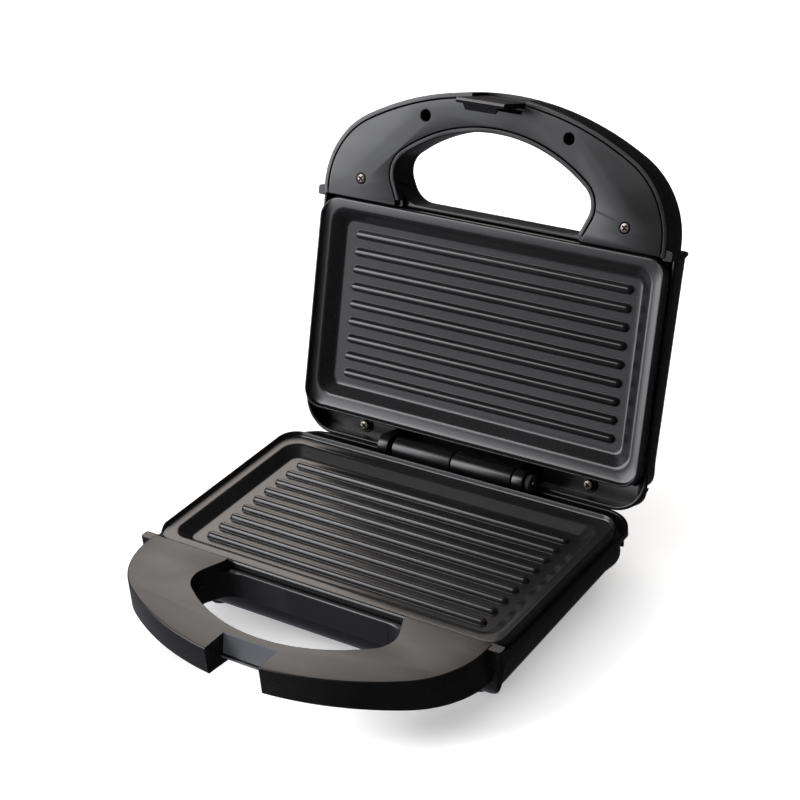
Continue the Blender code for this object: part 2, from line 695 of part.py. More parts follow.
def feet():
    made = []
    places = (("front", FOOT_FRONT_Y), ("rear", FOOT_BACK_Y))
    for side, sign in (("left", -1), ("right", 1)):
        for end, y in places:
            turn = arc(0, 0, 1, 0, 360, ROUND_STEPS)[:-1]
            levels = ((FOOT_RADIUS, TUB_DEPTH + GAP), (FOOT_RADIUS, TUB_DEPTH + 5.5 * MM),
                      (FOOT_RADIUS - 1.4 * MM, RIM_HEIGHT))
            rings = [[BASE.place(sign * FOOT_X + r * a, y + r * b, d) for a, b in turn]
                     for r, d in levels]
            made.append(smooth(lofted(f"foot_{end}_{side}", rings, "rubber")))
    return made


def hinge_pin():
    axis = BASE.hinge_depth()
    pin = BASE.bar(PIN_LEFT, PIN_RIGHT, HINGE_Y, axis, PIN_RADIUS, "hinge_pin", "steel")
    return smooth(pin)


def thermostat():
    """The disc thermostat under the base reflector, with its two flat tabs."""
    body = BASE.post(0, 62 * MM, 8.5 * MM, 24.4 * MM, 31 * MM, "thermostat", "phenolic")
    flange = BASE.block(-12 * MM, 12 * MM, 58 * MM, 66 * MM, 24.4 * MM, 25.4 * MM)
    tabs = [BASE.block(x - 3 * MM, x + 3 * MM, 60 * MM, 61 * MM, 30 * MM, 33 * MM)
            for x in (-4 * MM, 4 * MM)]
    return smooth(join(body, flange, *tabs))


def thermal_fuse():
    return smooth(BASE.bar(24 * MM, 50 * MM, 44 * MM, 28 * MM, 2.6 * MM, "thermal_fuse",
                           "aluminium", 10))


def terminal_block():
    """A three-way block on the tub's floor by the cord gland."""
    made = BASE.block(-66 * MM, -36 * MM, 113.5 * MM, 124 * MM, 24 * MM, 31.6 * MM,
                      "terminal_block", "phenolic")
    for x in (-61, -51, -41):
        cut(made, BASE.post(x * MM, 118.8 * MM, 2.4 * MM, 20 * MM, 28 * MM, steps=8))
    return made


# --- The lid ----------------------------------------------------------------------------------


def latch_slot():
    """Opening in the front of the lid's handle in which the latch hangs and swings."""
    outline = [
        (-80 * MM, -8 * MM),
        (-60.4 * MM, -8 * MM),
        (-56 * MM, 0),
        (-56 * MM, LATCH_PIVOT_DEPTH + 4.6 * MM),
        (-80 * MM, LATCH_PIVOT_DEPTH + 4.6 * MM),
    ]
    return LID.profile(outline, -LATCH_HALF_WIDTH - 1.8 * MM, LATCH_HALF_WIDTH + 1.8 * MM)


def pin_cheek(sign):
    """A solid cheek beside the slot, which holds one end of the latch pin."""
    inner, outer = LATCH_HALF_WIDTH + 1.8 * MM, LATCH_HALF_WIDTH + 6.8 * MM
    x0, x1 = sorted((sign * inner, sign * outer))
    return LID.block(x0, x1, -63.4 * MM, -55.8 * MM, 2.6 * MM, 14.4 * MM)


def lid_housing():
    made = housing(LID, "plate", LID_KNUCKLES, 3.5 * MM)
    join(made, pin_cheek(-1), pin_cheek(1))
    seat = HANDLE_CORNER_X + LID.corner - HANDLE_WALL - GAP
    cut(made, latch_slot(), LID.block(-seat, seat, -1 * MM, 2.8 * MM, -3 * MM, 1 * MM))
    reach = LATCH_HALF_WIDTH + 5.2 * MM
    cut(made, LID.bar(-reach, reach, LATCH_PIVOT_Y, LATCH_PIVOT_DEPTH, 1.25 * MM + GAP, steps=10))
    for sign in (-1, 1):
        x = sign * COVER_SCREW_X
        join(made, cover_post(LID, x, 1.1 * MM, 17.4 * MM))
        shank_hole(LID, made, x, COVER_SCREW_Y, -1, 14 * MM)
        lamp = sign * LAMP_X
        cut(made, LID.post(lamp, LAMP_Y, 3.2 * MM + GAP, 30 * MM, 40 * MM, steps=12))
    return smooth(made)


def lid_handle_cover():
    """The flush cover that closes the lid's handle, with a recess for the latch."""
    inset = HANDLE_WALL + 0.7 * MM
    made = handle_cover(LID, "lid_handle_cover", inset, inset, HANDLE_FACE, 0.7 * MM,
                        PLATE_FRONT - 0.9 * MM)
    recess = [(-LATCH_HALF_WIDTH - 1.8 * MM, -80 * MM), (LATCH_HALF_WIDTH + 1.8 * MM, -80 * MM),
              (LATCH_HALF_WIDTH + 1.8 * MM, -63 * MM), (LATCH_HALF_WIDTH - 0.4 * MM, -58.6 * MM),
              (-LATCH_HALF_WIDTH + 0.4 * MM, -58.6 * MM), (-LATCH_HALF_WIDTH - 1.8 * MM, -63 * MM)]
    cut(made, LID.prism(recess, -1, 1))
    for sign in (-1, 1):
        cut(made, LID.post(sign * PEEP_X, PEEP_Y, 3.1 * MM, -1, 1))
        shank_hole(LID, made, sign * COVER_SCREW_X, COVER_SCREW_Y)
        head_recess(LID, made, sign * COVER_SCREW_X, COVER_SCREW_Y, -1, -0.1 * MM)
    return smooth(made)


def indicator(side, sign, finish):
    """A lamp lens in the lid's top, and the neon lamp behind it."""
    x = sign * LAMP_X
    flange = LID.post(x, LAMP_Y, 4.4 * MM, TUB_DEPTH - WALL - 1.2 * MM, TUB_DEPTH - WALL - GAP,
                      f"lens_{side}", finish, 12)
    stem = LID.post(x, LAMP_Y, 3.2 * MM, TUB_DEPTH - WALL - 0.8 * MM, TUB_DEPTH + 0.6 * MM,
                    steps=12)
    lamp = LID.post(x, LAMP_Y, 2.4 * MM, 25.5 * MM, 32 * MM, f"lamp_{side}", "red_lens", 8)
    return smooth(join(flange, stem)), smooth(lamp)


def latch_pin():
    reach = LATCH_HALF_WIDTH + 4.6 * MM
    pin = LID.bar(-reach, reach, LATCH_PIVOT_Y, LATCH_PIVOT_DEPTH, 1.25 * MM, "latch_pin",
                  "steel", 10)
    return smooth(pin)


def latch():
    """The clip: a plate that hangs from the pin, with a hook along its free end."""
    y, depth = LATCH_PIVOT_Y, LATCH_PIVOT_DEPTH
    inner = LATCH_OUTER + LATCH_THICKNESS
    outline = [
        (LATCH_OUTER, depth + 3 * MM),
        (LATCH_OUTER, LATCH_REACH + 1 * MM),
        (LATCH_OUTER + 1.2 * MM, LATCH_REACH),
        (inner + LATCH_HOOK, LATCH_REACH + 0.9 * MM),
        (inner + LATCH_HOOK, LATCH_REACH + 1.7 * MM),
        (inner, LATCH_REACH + 3.2 * MM),
        (inner, depth + 3 * MM),
    ]
    made = LID.profile(outline, -LATCH_HALF_WIDTH, LATCH_HALF_WIDTH, "latch", "housing")
    join(made, LID.bar(-LATCH_HALF_WIDTH + 0.2 * MM, LATCH_HALF_WIDTH - 0.2 * MM, y, depth,
                       3.4 * MM))
    return smooth(cut(made, LID.bar(-1, 1, y, depth, 1.25 * MM + GAP, steps=10)))


# --- Assembly ---------------------------------------------------------------------------------


def empty(name, location, parent=None):
    made = bpy.data.objects.new(name, None)
    bpy.context.scene.collection.objects.link(made)
    made.location = location
    made.parent = parent
    return made


def hold(pieces, parent, pivot):
    """Parents pieces to an empty and moves their origins to it, leaving their shapes in place."""
    for piece in pieces:
        data = piece.data
        if piece.type == "MESH":
            data.transform(Matrix.Translation(-pivot))
        else:
            for spline in data.splines:
                for point in spline.points:
                    point.co = (*(Vector(point.co[:3]) - pivot), 1)
        piece.parent = parent


def build_base():
    plate_screws = []
    for side, sign in (("left", -1), ("right", 1)):
        for end, y in (("front", POST_FRONT_Y), ("rear", POST_BACK_Y)):
            plate_screws.append(screw(BASE, f"base_plate_screw_{end}_{side}", sign * POST_X, y,
                                      TUB_DEPTH - 0.4 * MM, -1, 25 * MM))
    cover_depth = handle_depth(COVER_SCREW_Y)
    return [
        base_housing(),
        *base_handle_covers(),
        cooking_plate(BASE),
        heating_element(BASE),
        reflector(BASE),
        *feet(),
        *plate_screws,
        *screw_pair(BASE, "cover_screw", COVER_SCREW_X, COVER_SCREW_Y,
                    cover_depth + SCREW_HEAD_HEIGHT + 0.2 * MM, -1, 10 * MM),
        *screw_pair(BASE, "rear_screw", REAR_SCREW_X, REAR_SCREW_Y,
                    DECK_DEPTH - 1 * MM - SCREW_HEAD_HEIGHT - GAP, 1, 9 * MM),
        hinge_pin(),
        thermostat(),
        thermal_fuse(),
        terminal_block(),
        cord_gland(),
    ]


def build_lid():
    return [
        lid_housing(),
        lid_handle_cover(),
        cooking_plate(LID),
        heating_element(LID),
        reflector(LID),
        *screw_pair(LID, "cover_screw", COVER_SCREW_X, COVER_SCREW_Y, -2.2 * MM, 1, 10 * MM),
        *screw_pair(LID, "rear_screw", REAR_SCREW_X, REAR_SCREW_Y,
                    DECK_DEPTH - 1 * MM - SCREW_HEAD_HEIGHT - GAP, 1, 9 * MM),
        *indicator("red", -1, "red_lens"),
        *indicator("green", 1, "green_lens"),
        latch_pin(),
    ]


def main():
    clear_scene()
    ground = empty("press", (0, -MIDDLE_Y, 0))
    hinge = Vector((0, HINGE_Y, RIM_HEIGHT + HINGE_RISE))
    pivot = Vector(LID.place(0, LATCH_PIVOT_Y, LATCH_PIVOT_DEPTH))
    lid_axis = empty("lid_axis", hinge, ground)
    latch_axis = empty("latch_axis", pivot - hinge, lid_axis)
    hold(build_base(), ground, Vector())
    hold(build_lid(), lid_axis, hinge)
    hold([latch()], latch_axis, pivot)
    lid_axis.rotation_euler = (-OPEN_ANGLE, 0, 0)


main()
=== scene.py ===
"""Looks for the panini press: detailed housings, plates, latch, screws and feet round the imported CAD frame.

The base and the lid are one clamshell facing each other, so both are made in half coordinates: x to the
right, y backwards from the front of the cooking plate, and a depth into the housing from the flat rim of
that half's plate. Lengths are in millimetres until place() turns them into metres in the frame's axes.
"""

import math

import bmesh
import bpy
from mathutils import Matrix, Vector

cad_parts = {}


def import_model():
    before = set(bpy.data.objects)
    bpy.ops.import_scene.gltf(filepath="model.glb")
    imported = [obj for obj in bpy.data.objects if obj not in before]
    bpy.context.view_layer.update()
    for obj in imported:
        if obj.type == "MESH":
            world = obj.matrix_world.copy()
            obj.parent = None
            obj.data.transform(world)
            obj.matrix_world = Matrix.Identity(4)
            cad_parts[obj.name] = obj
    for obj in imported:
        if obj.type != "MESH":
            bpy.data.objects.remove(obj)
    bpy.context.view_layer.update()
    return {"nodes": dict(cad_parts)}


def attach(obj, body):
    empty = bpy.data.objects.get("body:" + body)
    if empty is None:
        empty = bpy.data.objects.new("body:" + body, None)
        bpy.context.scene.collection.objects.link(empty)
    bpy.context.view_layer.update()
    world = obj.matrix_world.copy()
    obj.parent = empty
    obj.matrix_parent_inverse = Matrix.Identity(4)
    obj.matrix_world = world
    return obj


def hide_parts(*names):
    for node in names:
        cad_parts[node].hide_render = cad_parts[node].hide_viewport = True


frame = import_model()

MIDDLE_Y = 76.15
RIM_HEIGHT = 44.0
PLATE_SPACING = 6.0
HINGE_Y, HINGE_RISE = 137.6, 2.1
OPEN_ANGLE = math.radians(108.26)

TUB_HALF_WIDTH, TUB_FRONT, TUB_BACK = 112.6, 0.5, 143.0
TUB_BACK_RADIUS, TUB_FRONT_RADIUS = 20.0, 4.0
TUB_DEPTH, TUB_RIM = 36.0, 4.0
TUB_STRAIGHTS = (5.0, 20.0, 24.0)
TUB_ROUNDS = (33.0, 16.0, 12.0)
TUB_STEP = 9.0
WALL = 2.2

HANDLE_FRONT, HANDLE_END = -67.0, 2.5
HANDLE_CORNER_X, HANDLE_CORNER_Y = 60.5, -3.0
HANDLE_FACE = -1.8
HANDLE_DEPTH_FRONT, HANDLE_DEPTH_BACK = 14.0, 20.5
HANDLE_WALL = 2.4
LOOP_FRONT, LOOP_FRONT_RADIUS = -46.2, 94.0
LOOP_CORNER_X, LOOP_CORNER_RADIUS = 49.5, 13.0
LOOP_BACK_HALF_WIDTH = 56.5
EAR_REACH = 114.0

NOTCH_HALF_WIDTH = 16.8
LATCH_HALF_WIDTH = 15.0
LATCH_PIVOT_Y, LATCH_PIVOT_DEPTH = -60.6, 8.0
LATCH_OUTER, LATCH_THICKNESS = -64.6, 2.8
LATCH_REACH, LATCH_HOOK = -21.0, 3.4
LATCH_CLEARANCE = 1.8
LATCH_PIN_HOLE_RADIUS = 1.55

PLATE_HALF_WIDTH, PLATE_FRONT, PLATE_BACK = 110.0, 3.3, 127.6
WELL_DEPTH = 5
RIB_COUNT, RIB_PITCH, RIB_MIDDLE_Y = 9, 10.15, 63.9
RIB_LEFT, RIB_RIGHT, RIB_END_RADIUS = -88, 90.3, 2.6

BARREL_RADIUS = 6.3
PIN_RADIUS, PIN_HOLE_RADIUS = 2.0, 2.35
PIN_LEFT, PIN_RIGHT = -51.2, 50.5
BASE_KNUCKLES = ((-40.4, -1.6), (38.6, 45.6))
LID_KNUCKLES = ((-50.3, -43.4), (-1.0, 38.0))
DECK_FRONT, DECK_DEPTH, DECK_THICKNESS = 129.4, 14.0, 2.4

COVER_SCREW_X, COVER_SCREW_Y = 84.0, -9.2
PEEP_X, PEEP_Y = 45.2, -50.0
REAR_SCREW_X, REAR_SCREW_Y = 74.6, 135.1
POST_X, POST_FRONT_Y, POST_BACK_Y = 82.0, 44.0, 92.0
POST_RADIUS, COVER_POST_RADIUS = 4.2, 3.6
SHANK_HOLE_RADIUS, HEAD_RECESS_RADIUS = 1.7, 3.3
FOOT_X, FOOT_FRONT_Y, FOOT_BACK_Y = 84.0, 22.5, 124.0
FOOT_BOSS_RADIUS = 8.6
LAMP_X, LAMP_Y = 11.0, 28.0
GLAND_X, GLAND_DEPTH = -62.0, 24.2
SLOT_COUNT, SLOT_PITCH, SLOT_RADIUS = 7, 9.0, 1.5
SLOT_FRONT, SLOT_BACK = 60, 84

# Further out than anything, for tools that only have to cut to one side.
FAR = 1000


# --- The two halves and their outlines --------------------------------------------------------


class Half:
    """The base or the lid: turns half coordinates into places in the frame, the lid standing open."""

    def __init__(self, name, face, direction, turn, corner, back_rim, low_round):
        self.name, self.face, self.direction = name, face, direction
        self.corner, self.back_rim, self.low_round = corner, back_rim, low_round
        hinge = Vector((0, HINGE_Y, RIM_HEIGHT + HINGE_RISE))
        ground = Matrix.Translation((0, -MIDDLE_Y, 0))
        swing = Matrix.Translation(hinge) @ Matrix.Rotation(turn, 4, "X") @ Matrix.Translation(-hinge)
        self.matrix = Matrix.Scale(0.001, 4) @ ground @ swing

    def place(self, x, y, depth):
        return self.matrix @ Vector((x, y, self.face + self.direction * depth))

    def hinge_depth(self):
        return (RIM_HEIGHT + HINGE_RISE - self.face) / self.direction


BASE = Half("base", RIM_HEIGHT, -1, 0, 46.5, 4.2, 2.5)
LID = Half("lid", RIM_HEIGHT + PLATE_SPACING, 1, -OPEN_ANGLE, 48.5, 4.8, 4.5)


def arc(x, y, radius, start, end, steps):
    turn = [math.radians(start + (end - start) * i / steps) for i in range(steps + 1)]
    return [(x + radius * math.cos(a), y + radius * math.sin(a)) for a in turn]


def circle(x, y, radius, steps=40):
    return arc(x, y, radius, 0, 360, steps)[:-1]


def mirrored(right):
    return right + [(-x, y) for x, y in reversed(right) if abs(x) > 1e-6]


def rounded_rect(half_width, front, back, front_radius, back_radius, steps=14):
    right = arc(half_width - front_radius, front + front_radius, front_radius, -90, 0, steps)
    right += arc(half_width - back_radius, back - back_radius, back_radius, 0, 90, steps)
    return mirrored(right)


def box_outline(x0, x1, y0, y1):
    return [(x0, y0), (x1, y0), (x1, y1), (x0, y1)]


def handle_outline(half, inset=0.0, end=HANDLE_END):
    drop = HANDLE_CORNER_Y - HANDLE_FRONT
    radius = (HANDLE_CORNER_X**2 + drop**2 - half.corner**2) / (2 * (drop - half.corner))
    centre_y = HANDLE_FRONT + radius
    tangent = math.degrees(math.atan2(HANDLE_CORNER_Y - centre_y, HANDLE_CORNER_X))
    corner_radius = half.corner - inset
    right = arc(0, centre_y, radius - inset, -90, tangent, 16)[:-1]
    right += arc(HANDLE_CORNER_X, HANDLE_CORNER_Y, corner_radius, tangent, 0, 26)
    return mirrored(right + [(HANDLE_CORNER_X + corner_radius, end)])


def loop_outline(outset=0.0, back=10.0):
    centre_y = LOOP_FRONT + LOOP_FRONT_RADIUS
    corner_y = centre_y - math.sqrt((LOOP_FRONT_RADIUS - LOOP_CORNER_RADIUS) ** 2 - LOOP_CORNER_X**2)
    tangent = math.degrees(math.atan2(corner_y - centre_y, LOOP_CORNER_X))
    right = arc(0, centre_y, LOOP_FRONT_RADIUS + outset, -90, tangent, 16)[:-1]
    right += arc(LOOP_CORNER_X, corner_y, LOOP_CORNER_RADIUS + outset, tangent, 25, 18)
    side = LOOP_BACK_HALF_WIDTH + outset
    return mirrored(right + [(side, 0), (side, back)])


def along_handle(y):
    return (y - HANDLE_FRONT) / (TUB_FRONT - HANDLE_FRONT)


def handle_depth(y):
    return HANDLE_DEPTH_FRONT + (HANDLE_DEPTH_BACK - HANDLE_DEPTH_FRONT) * along_handle(y)


def loop_corner(shrink=0.0):
    """The filling of the loop's right rear corner: a curve from its side to the tub's front."""
    start, corner, end = (60.9, -9.8), (56.6, 0.4), (46.0, 0.5)
    curve = []
    for i in range(13):
        t = i / 12
        weights = ((1 - t) ** 2, 2 * t * (1 - t), t**2)
        x, y = (sum(w * p[axis] for w, p in zip(weights, (start, corner, end))) for axis in (0, 1))
        curve.append((x + shrink * 0.8, y + shrink * 0.8))
    return curve + [(46.0 + shrink, 1.9), (58.3, 1.9), (62.6, -9.8 + shrink)]


def ease(share):
    share = min(max(share, 0), 1)
    return share * share * (3 - 2 * share)


# --- Meshes -----------------------------------------------------------------------------------


def solid(name, points, faces):
    mesh = bpy.data.meshes.new(name)
    mesh.from_pydata([tuple(p) for p in points], [], faces)
    shape = bmesh.new()
    shape.from_mesh(mesh)
    bmesh.ops.recalc_face_normals(shape, faces=shape.faces)
    shape.to_mesh(mesh)
    shape.free()
    made = bpy.data.objects.new(name, mesh)
    bpy.context.scene.collection.objects.link(made)
    return made


def lofted(name, rings, closed=False):
    """A solid through rings of equal length, capped at both ends, or closed on itself like a tyre."""
    count = len(rings[0])
    points = [p for ring in rings for p in ring]
    faces = [] if closed else [list(range(count)), list(range(len(points) - count, len(points)))]
    for level in range(len(rings) if closed else len(rings) - 1):
        after = (level + 1) % len(rings)
        for i in range(count):
            j = (i + 1) % count
            faces.append([level * count + i, level * count + j, after * count + j, after * count + i])
    return solid(name, points, faces)


def prism(half, levels, name="tool"):
    """A solid through (outline, depth) levels, where a depth may be a function of y."""
    rings = []
    for outline, level in levels:
        depth = level if callable(level) else lambda y, level=level: level
        rings.append([half.place(x, y, depth(y)) for x, y in outline])
    return lofted(name, rings)


def straight(half, outline, top, low, name="tool"):
    return prism(half, [(outline, top), (outline, low)], name)


def block(half, x0, x1, y0, y1, top, low, name="tool"):
    return straight(half, box_outline(x0, x1, y0, y1), top, low, name)


def post(half, x, y, radius, top, low, name="tool", steps=40):
    return straight(half, circle(x, y, radius, steps), top, low, name)


def bar(half, x0, x1, y, depth, radius, name="tool", chamfer=0.0, steps=56):
    """A round bar along x, its ends rounded by chamfer."""
    ends = [(0, 0)]
    if chamfer:
        ends = [(chamfer * (1 - math.sin(a)), chamfer * (1 - math.cos(a)))
                for a in [math.radians(22.5 * i) for i in range(5)]]
    left = [(x0 + along, radius - inset) for inset, along in ends]
    right = [(x1 - along, radius - inset) for inset, along in reversed(ends)]
    rings = [[half.place(x, a, b) for a, b in circle(y, depth, r, steps)] for x, r in left + right]
    return lofted(name, rings)


def profile(half, outline, x0, x1, name="tool"):
    """A solid along x from an outline of (y, depth) points."""
    return lofted(name, [[half.place(x, y, d) for y, d in outline] for x in (x0, x1)])


def combine(target, operation, tools):
    for tool in tools:
        modifier = target.modifiers.new(operation, "BOOLEAN")
        modifier.operation = operation
        modifier.solver = "EXACT"
        modifier.object = tool
        graph = bpy.context.evaluated_depsgraph_get()
        result = bpy.data.meshes.new_from_object(target.evaluated_get(graph))
        target.modifiers.clear()
        target.data = result
        bpy.data.objects.remove(tool, do_unlink=True)
    return target


def cut(target, *tools):
    return combine(target, "DIFFERENCE", tools)


def join(target, *tools):
    return combine(target, "UNION", tools)


def merged(name, pieces):
    """One object from several, without a Boolean."""
    shape = bmesh.new()
    for piece in pieces:
        shape.from_mesh(piece.data)
        bpy.data.objects.remove(piece, do_unlink=True)
    mesh = bpy.data.meshes.new(name)
    shape.to_mesh(mesh)
    shape.free()
    made = bpy.data.objects.new(name, mesh)
    bpy.context.scene.collection.objects.link(made)
    return made


def smooth(made, angle=32):
    made.data.shade_smooth()
    made.data.set_sharp_from_angle(angle=math.radians(angle))
    return made


def edge_round(radius, steps=4):
    """(inset, step down) pairs of a quarter round, from the flat face to the wall."""
    turn = [math.radians(90 * i / steps) for i in range(steps + 1)]
    return [(radius * (1 - math.sin(a)), radius * (1 - math.cos(a))) for a in turn]


# --- Materials --------------------------------------------------------------------------------


class Shader:
    """A Principled material and helpers that add nodes to it."""

    def __init__(self, name, **constants):
        self.material = bpy.data.materials.new(name)
        self.material.use_nodes = True
        self.tree = self.material.node_tree
        self.principled = self.tree.nodes["Principled BSDF"]
        for key, value in constants.items():
            self.principled.inputs[key.replace("_", " ")].default_value = value
        place = self.node("ShaderNodeTexCoord")
        self.position = place.outputs["Object"]

    def node(self, kind, **settings):
        made = self.tree.nodes.new(kind)
        for key, value in settings.items():
            setattr(made, key, value)
        return made

    def link(self, source, target):
        self.tree.links.new(source, target)

    def noise(self, scale, detail=3.0, roughness=0.55, stretch=None):
        made = self.node("ShaderNodeTexNoise")
        made.inputs["Scale"].default_value = scale
        made.inputs["Detail"].default_value = detail
        made.inputs["Roughness"].default_value = roughness
        source = self.position
        if stretch:
            mapping = self.node("ShaderNodeMapping")
            mapping.inputs["Scale"].default_value = stretch
            self.link(source, mapping.inputs["Vector"])
            source = mapping.outputs["Vector"]
        self.link(source, made.inputs["Vector"])
        return made.outputs["Fac"]

    def span(self, source, low, high, out_low, out_high):
        made = self.node("ShaderNodeMapRange")
        for name, value in (("From Min", low), ("From Max", high), ("To Min", out_low), ("To Max", out_high)):
            made.inputs[name].default_value = value
        self.link(source, made.inputs["Value"])
        return made.outputs["Result"]

    def mix(self, factor, first, second):
        """A colour between two, each a colour or an output."""
        made = self.node("ShaderNodeMix", data_type="RGBA")
        self.link(factor, made.inputs["Factor"])
        colour_inputs = [s for s in made.inputs if s.type == "RGBA"]
        for socket, value in zip(colour_inputs, (first, second)):
            if isinstance(value, tuple):
                socket.default_value = (*value, 1)
            else:
                self.link(value, socket)
        return [s for s in made.outputs if s.type == "RGBA"][0]

    def maths(self, operation, first, second=None):
        made = self.node("ShaderNodeMath", operation=operation)
        for socket, value in zip(made.inputs, (first, second)):
            if value is None:
                continue
            if isinstance(value, (int, float)):
                socket.default_value = value
            else:
                self.link(value, socket)
        return made.outputs[0]

    def edges(self, radius):
        """From 0 on a flat face to 1 on an edge, and the rounded normal that shows it."""
        bevel = self.node("ShaderNodeBevel", samples=6)
        bevel.inputs["Radius"].default_value = radius
        geometry = self.node("ShaderNodeNewGeometry")
        dot = self.node("ShaderNodeVectorMath", operation="DOT_PRODUCT")
        self.link(bevel.outputs["Normal"], dot.inputs[0])
        self.link(geometry.outputs["Normal"], dot.inputs[1])
        return self.span(dot.outputs["Value"], 0.99, 0.75, 0, 1), bevel.outputs["Normal"]

    def bump(self, height, distance, strength=1.0, normal=None):
        made = self.node("ShaderNodeBump")
        made.inputs["Distance"].default_value = distance
        made.inputs["Strength"].default_value = strength
        self.link(height, made.inputs["Height"])
        if normal:
            self.link(normal, made.inputs["Normal"])
        return made.outputs["Normal"]

    def finish(self, colour=None, roughness=None, normal=None, metallic=None):
        for name, source in (("Base Color", colour), ("Roughness", roughness), ("Normal", normal),
                             ("Metallic", metallic)):
            if source is not None:
                self.link(source, self.principled.inputs[name])
        return self.material


def plastic(name, tone, rough, specular=0.45, bevel=0.00035, grain=0.00001):
    """Moulded black plastic: a fine spark-eroded grain, handling marks, slightly polished edges, and a painted
    highlight: the colour is lighter along the edges.
    """
    made = Shader(name, Specular_IOR_Level=specular)
    fine = made.noise(1900, 2.0, 0.6)
    cloud = made.noise(26, 4.0, 0.6)
    wipe = made.noise(60, 3.0, 0.5, (0.25, 1.0, 1.0))
    edge, rounded = made.edges(bevel)
    dark, light = tuple(0.75 * c for c in tone), tuple(1.3 * c for c in tone)
    colour = made.mix(made.span(cloud, 0.35, 0.7, 0, 1), dark, light)
    # Painted highlight: the colour is lifted towards a lighter tone along the edges.
    colour = made.mix(made.maths("MULTIPLY", edge, 0.5), colour, tuple(2.6 * c for c in tone))
    roughness = made.maths("ADD", made.span(wipe, 0.3, 0.75, rough - 0.04, rough + 0.05),
                           made.maths("MULTIPLY", edge, -0.08))
    roughness = made.maths("ADD", roughness, made.span(fine, 0.3, 0.7, -0.015, 0.015))
    return made.finish(colour, roughness, made.bump(fine, grain, 0.6, rounded))


def coating(name="plate_coating"):
    """Non-stick coating on aluminium: dark grey, finely pebbled, with a painted highlight: a lighter colour
    along the edges.
    """
    made = Shader(name, Specular_IOR_Level=0.42)
    pebble = made.noise(1300, 4.0, 0.65)
    cloud = made.noise(18, 4.0, 0.6)
    fleck = made.noise(2600, 1.0, 0.5)
    edge, rounded = made.edges(0.00035)
    colour = made.mix(made.span(cloud, 0.3, 0.7, 0, 1), (0.005, 0.005, 0.0053), (0.009, 0.009, 0.0095))
    colour = made.mix(made.span(fleck, 0.68, 0.78, 0, 0.35), colour, (0.08, 0.08, 0.085))
    # Painted highlight: a lighter warm grey along the edges.
    colour = made.mix(made.maths("MULTIPLY", edge, 0.5), colour, (0.07, 0.066, 0.06))
    roughness = made.maths("ADD", made.span(pebble, 0.3, 0.7, 0.2, 0.28),
                           made.maths("MULTIPLY", edge, -0.05))
    return made.finish(colour, roughness, made.bump(pebble, 0.00003, 0.7, rounded))


def metal(name, tone, rough, scale=900, stretch=(1, 1, 1), stain=0.6):
    made = Shader(name, Metallic=1.0)
    streak = made.noise(scale, 3.0, 0.6, stretch)
    cloud = made.noise(120, 3.0, 0.6)
    edge, rounded = made.edges(0.0002)
    colour = made.mix(made.span(cloud, 0.35, 0.7, 0, 1), tone, tuple(stain * c for c in tone))
    # Painted highlight: the colour is lighter along the edges.
    colour = made.mix(made.maths("MULTIPLY", edge, 0.5), colour, tuple(min(1.0, 1.6 * c) for c in tone))
    roughness = made.span(streak, 0.3, 0.7, rough - 0.07, rough + 0.1)
    return made.finish(colour, roughness, made.bump(streak, 0.00001, 0.5, rounded))


def rubber(name="rubber"):
    made = Shader(name, Specular_IOR_Level=0.3)
    pebble = made.noise(900, 3.0, 0.6)
    dust = made.noise(70, 4.0, 0.6)
    colour = made.mix(made.span(dust, 0.45, 0.75, 0, 1), (0.012, 0.012, 0.012), (0.035, 0.034, 0.032))
    roughness = made.span(pebble, 0.3, 0.7, 0.66, 0.82)
    return made.finish(colour, roughness, made.bump(pebble, 0.00004, 0.6, made.edges(0.0004)[1]))


def lens(name, tone):
    made = Shader(name, Transmission_Weight=0.55, IOR=1.49)
    ring = made.noise(500, 2.0, 0.5)
    colour = made.mix(ring, tone, tuple(0.6 * c for c in tone))
    return made.finish(colour, made.span(ring, 0.3, 0.7, 0.1, 0.2), made.bump(ring, 0.00002, 0.4))


MATERIALS = {
    "housing": plastic("black_plastic", (0.003, 0.0029, 0.0029), 0.3, 0.4),
    "cover": plastic("cover_plastic", (0.004, 0.004, 0.0042), 0.32, 0.4),
    # The notch's back wall: a lighter blue-grey with more sheen, a painted reflection on the black housing.
    "notch": plastic("notch_painted_reflection", (0.07, 0.072, 0.08), 0.3, 0.7),
    "latch": plastic("latch_plastic", (0.004, 0.004, 0.0042), 0.28, 0.45),
    "plate": coating(),
    "screw": metal("screw_steel", (0.2, 0.18, 0.155), 0.36),
    "pin": metal("pin_steel", (0.4, 0.39, 0.37), 0.3, 600, (0.1, 1, 1)),
    "element": metal("element_steel", (0.2, 0.17, 0.14), 0.5, 700),
    "reflector": metal("bare_aluminium", (0.72, 0.72, 0.73), 0.35, 500, (0.15, 1, 1), 0.85),
    "rubber": rubber(),
    "phenolic": plastic("brown_phenolic", (0.035, 0.02, 0.012), 0.45, 0.4),
    "red_lens": lens("red_lens", (0.55, 0.02, 0.015)),
    "green_lens": lens("green_lens", (0.02, 0.4, 0.08)),
    "lamp": lens("neon_lamp", (0.75, 0.45, 0.25)),
}


def dress(piece, finish, slot, body, *nodes):
    """Gives a piece its material and its body, and hides the CAD nodes it stands for."""
    if not piece.data.materials:
        piece.data.materials.append(MATERIALS[finish])
    elif len(piece.data.materials) == 1:
        piece.data.materials[0] = MATERIALS[finish]
    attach(piece, body)
    if nodes:
        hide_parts(*nodes)
    return piece


# --- Housings ---------------------------------------------------------------------------------


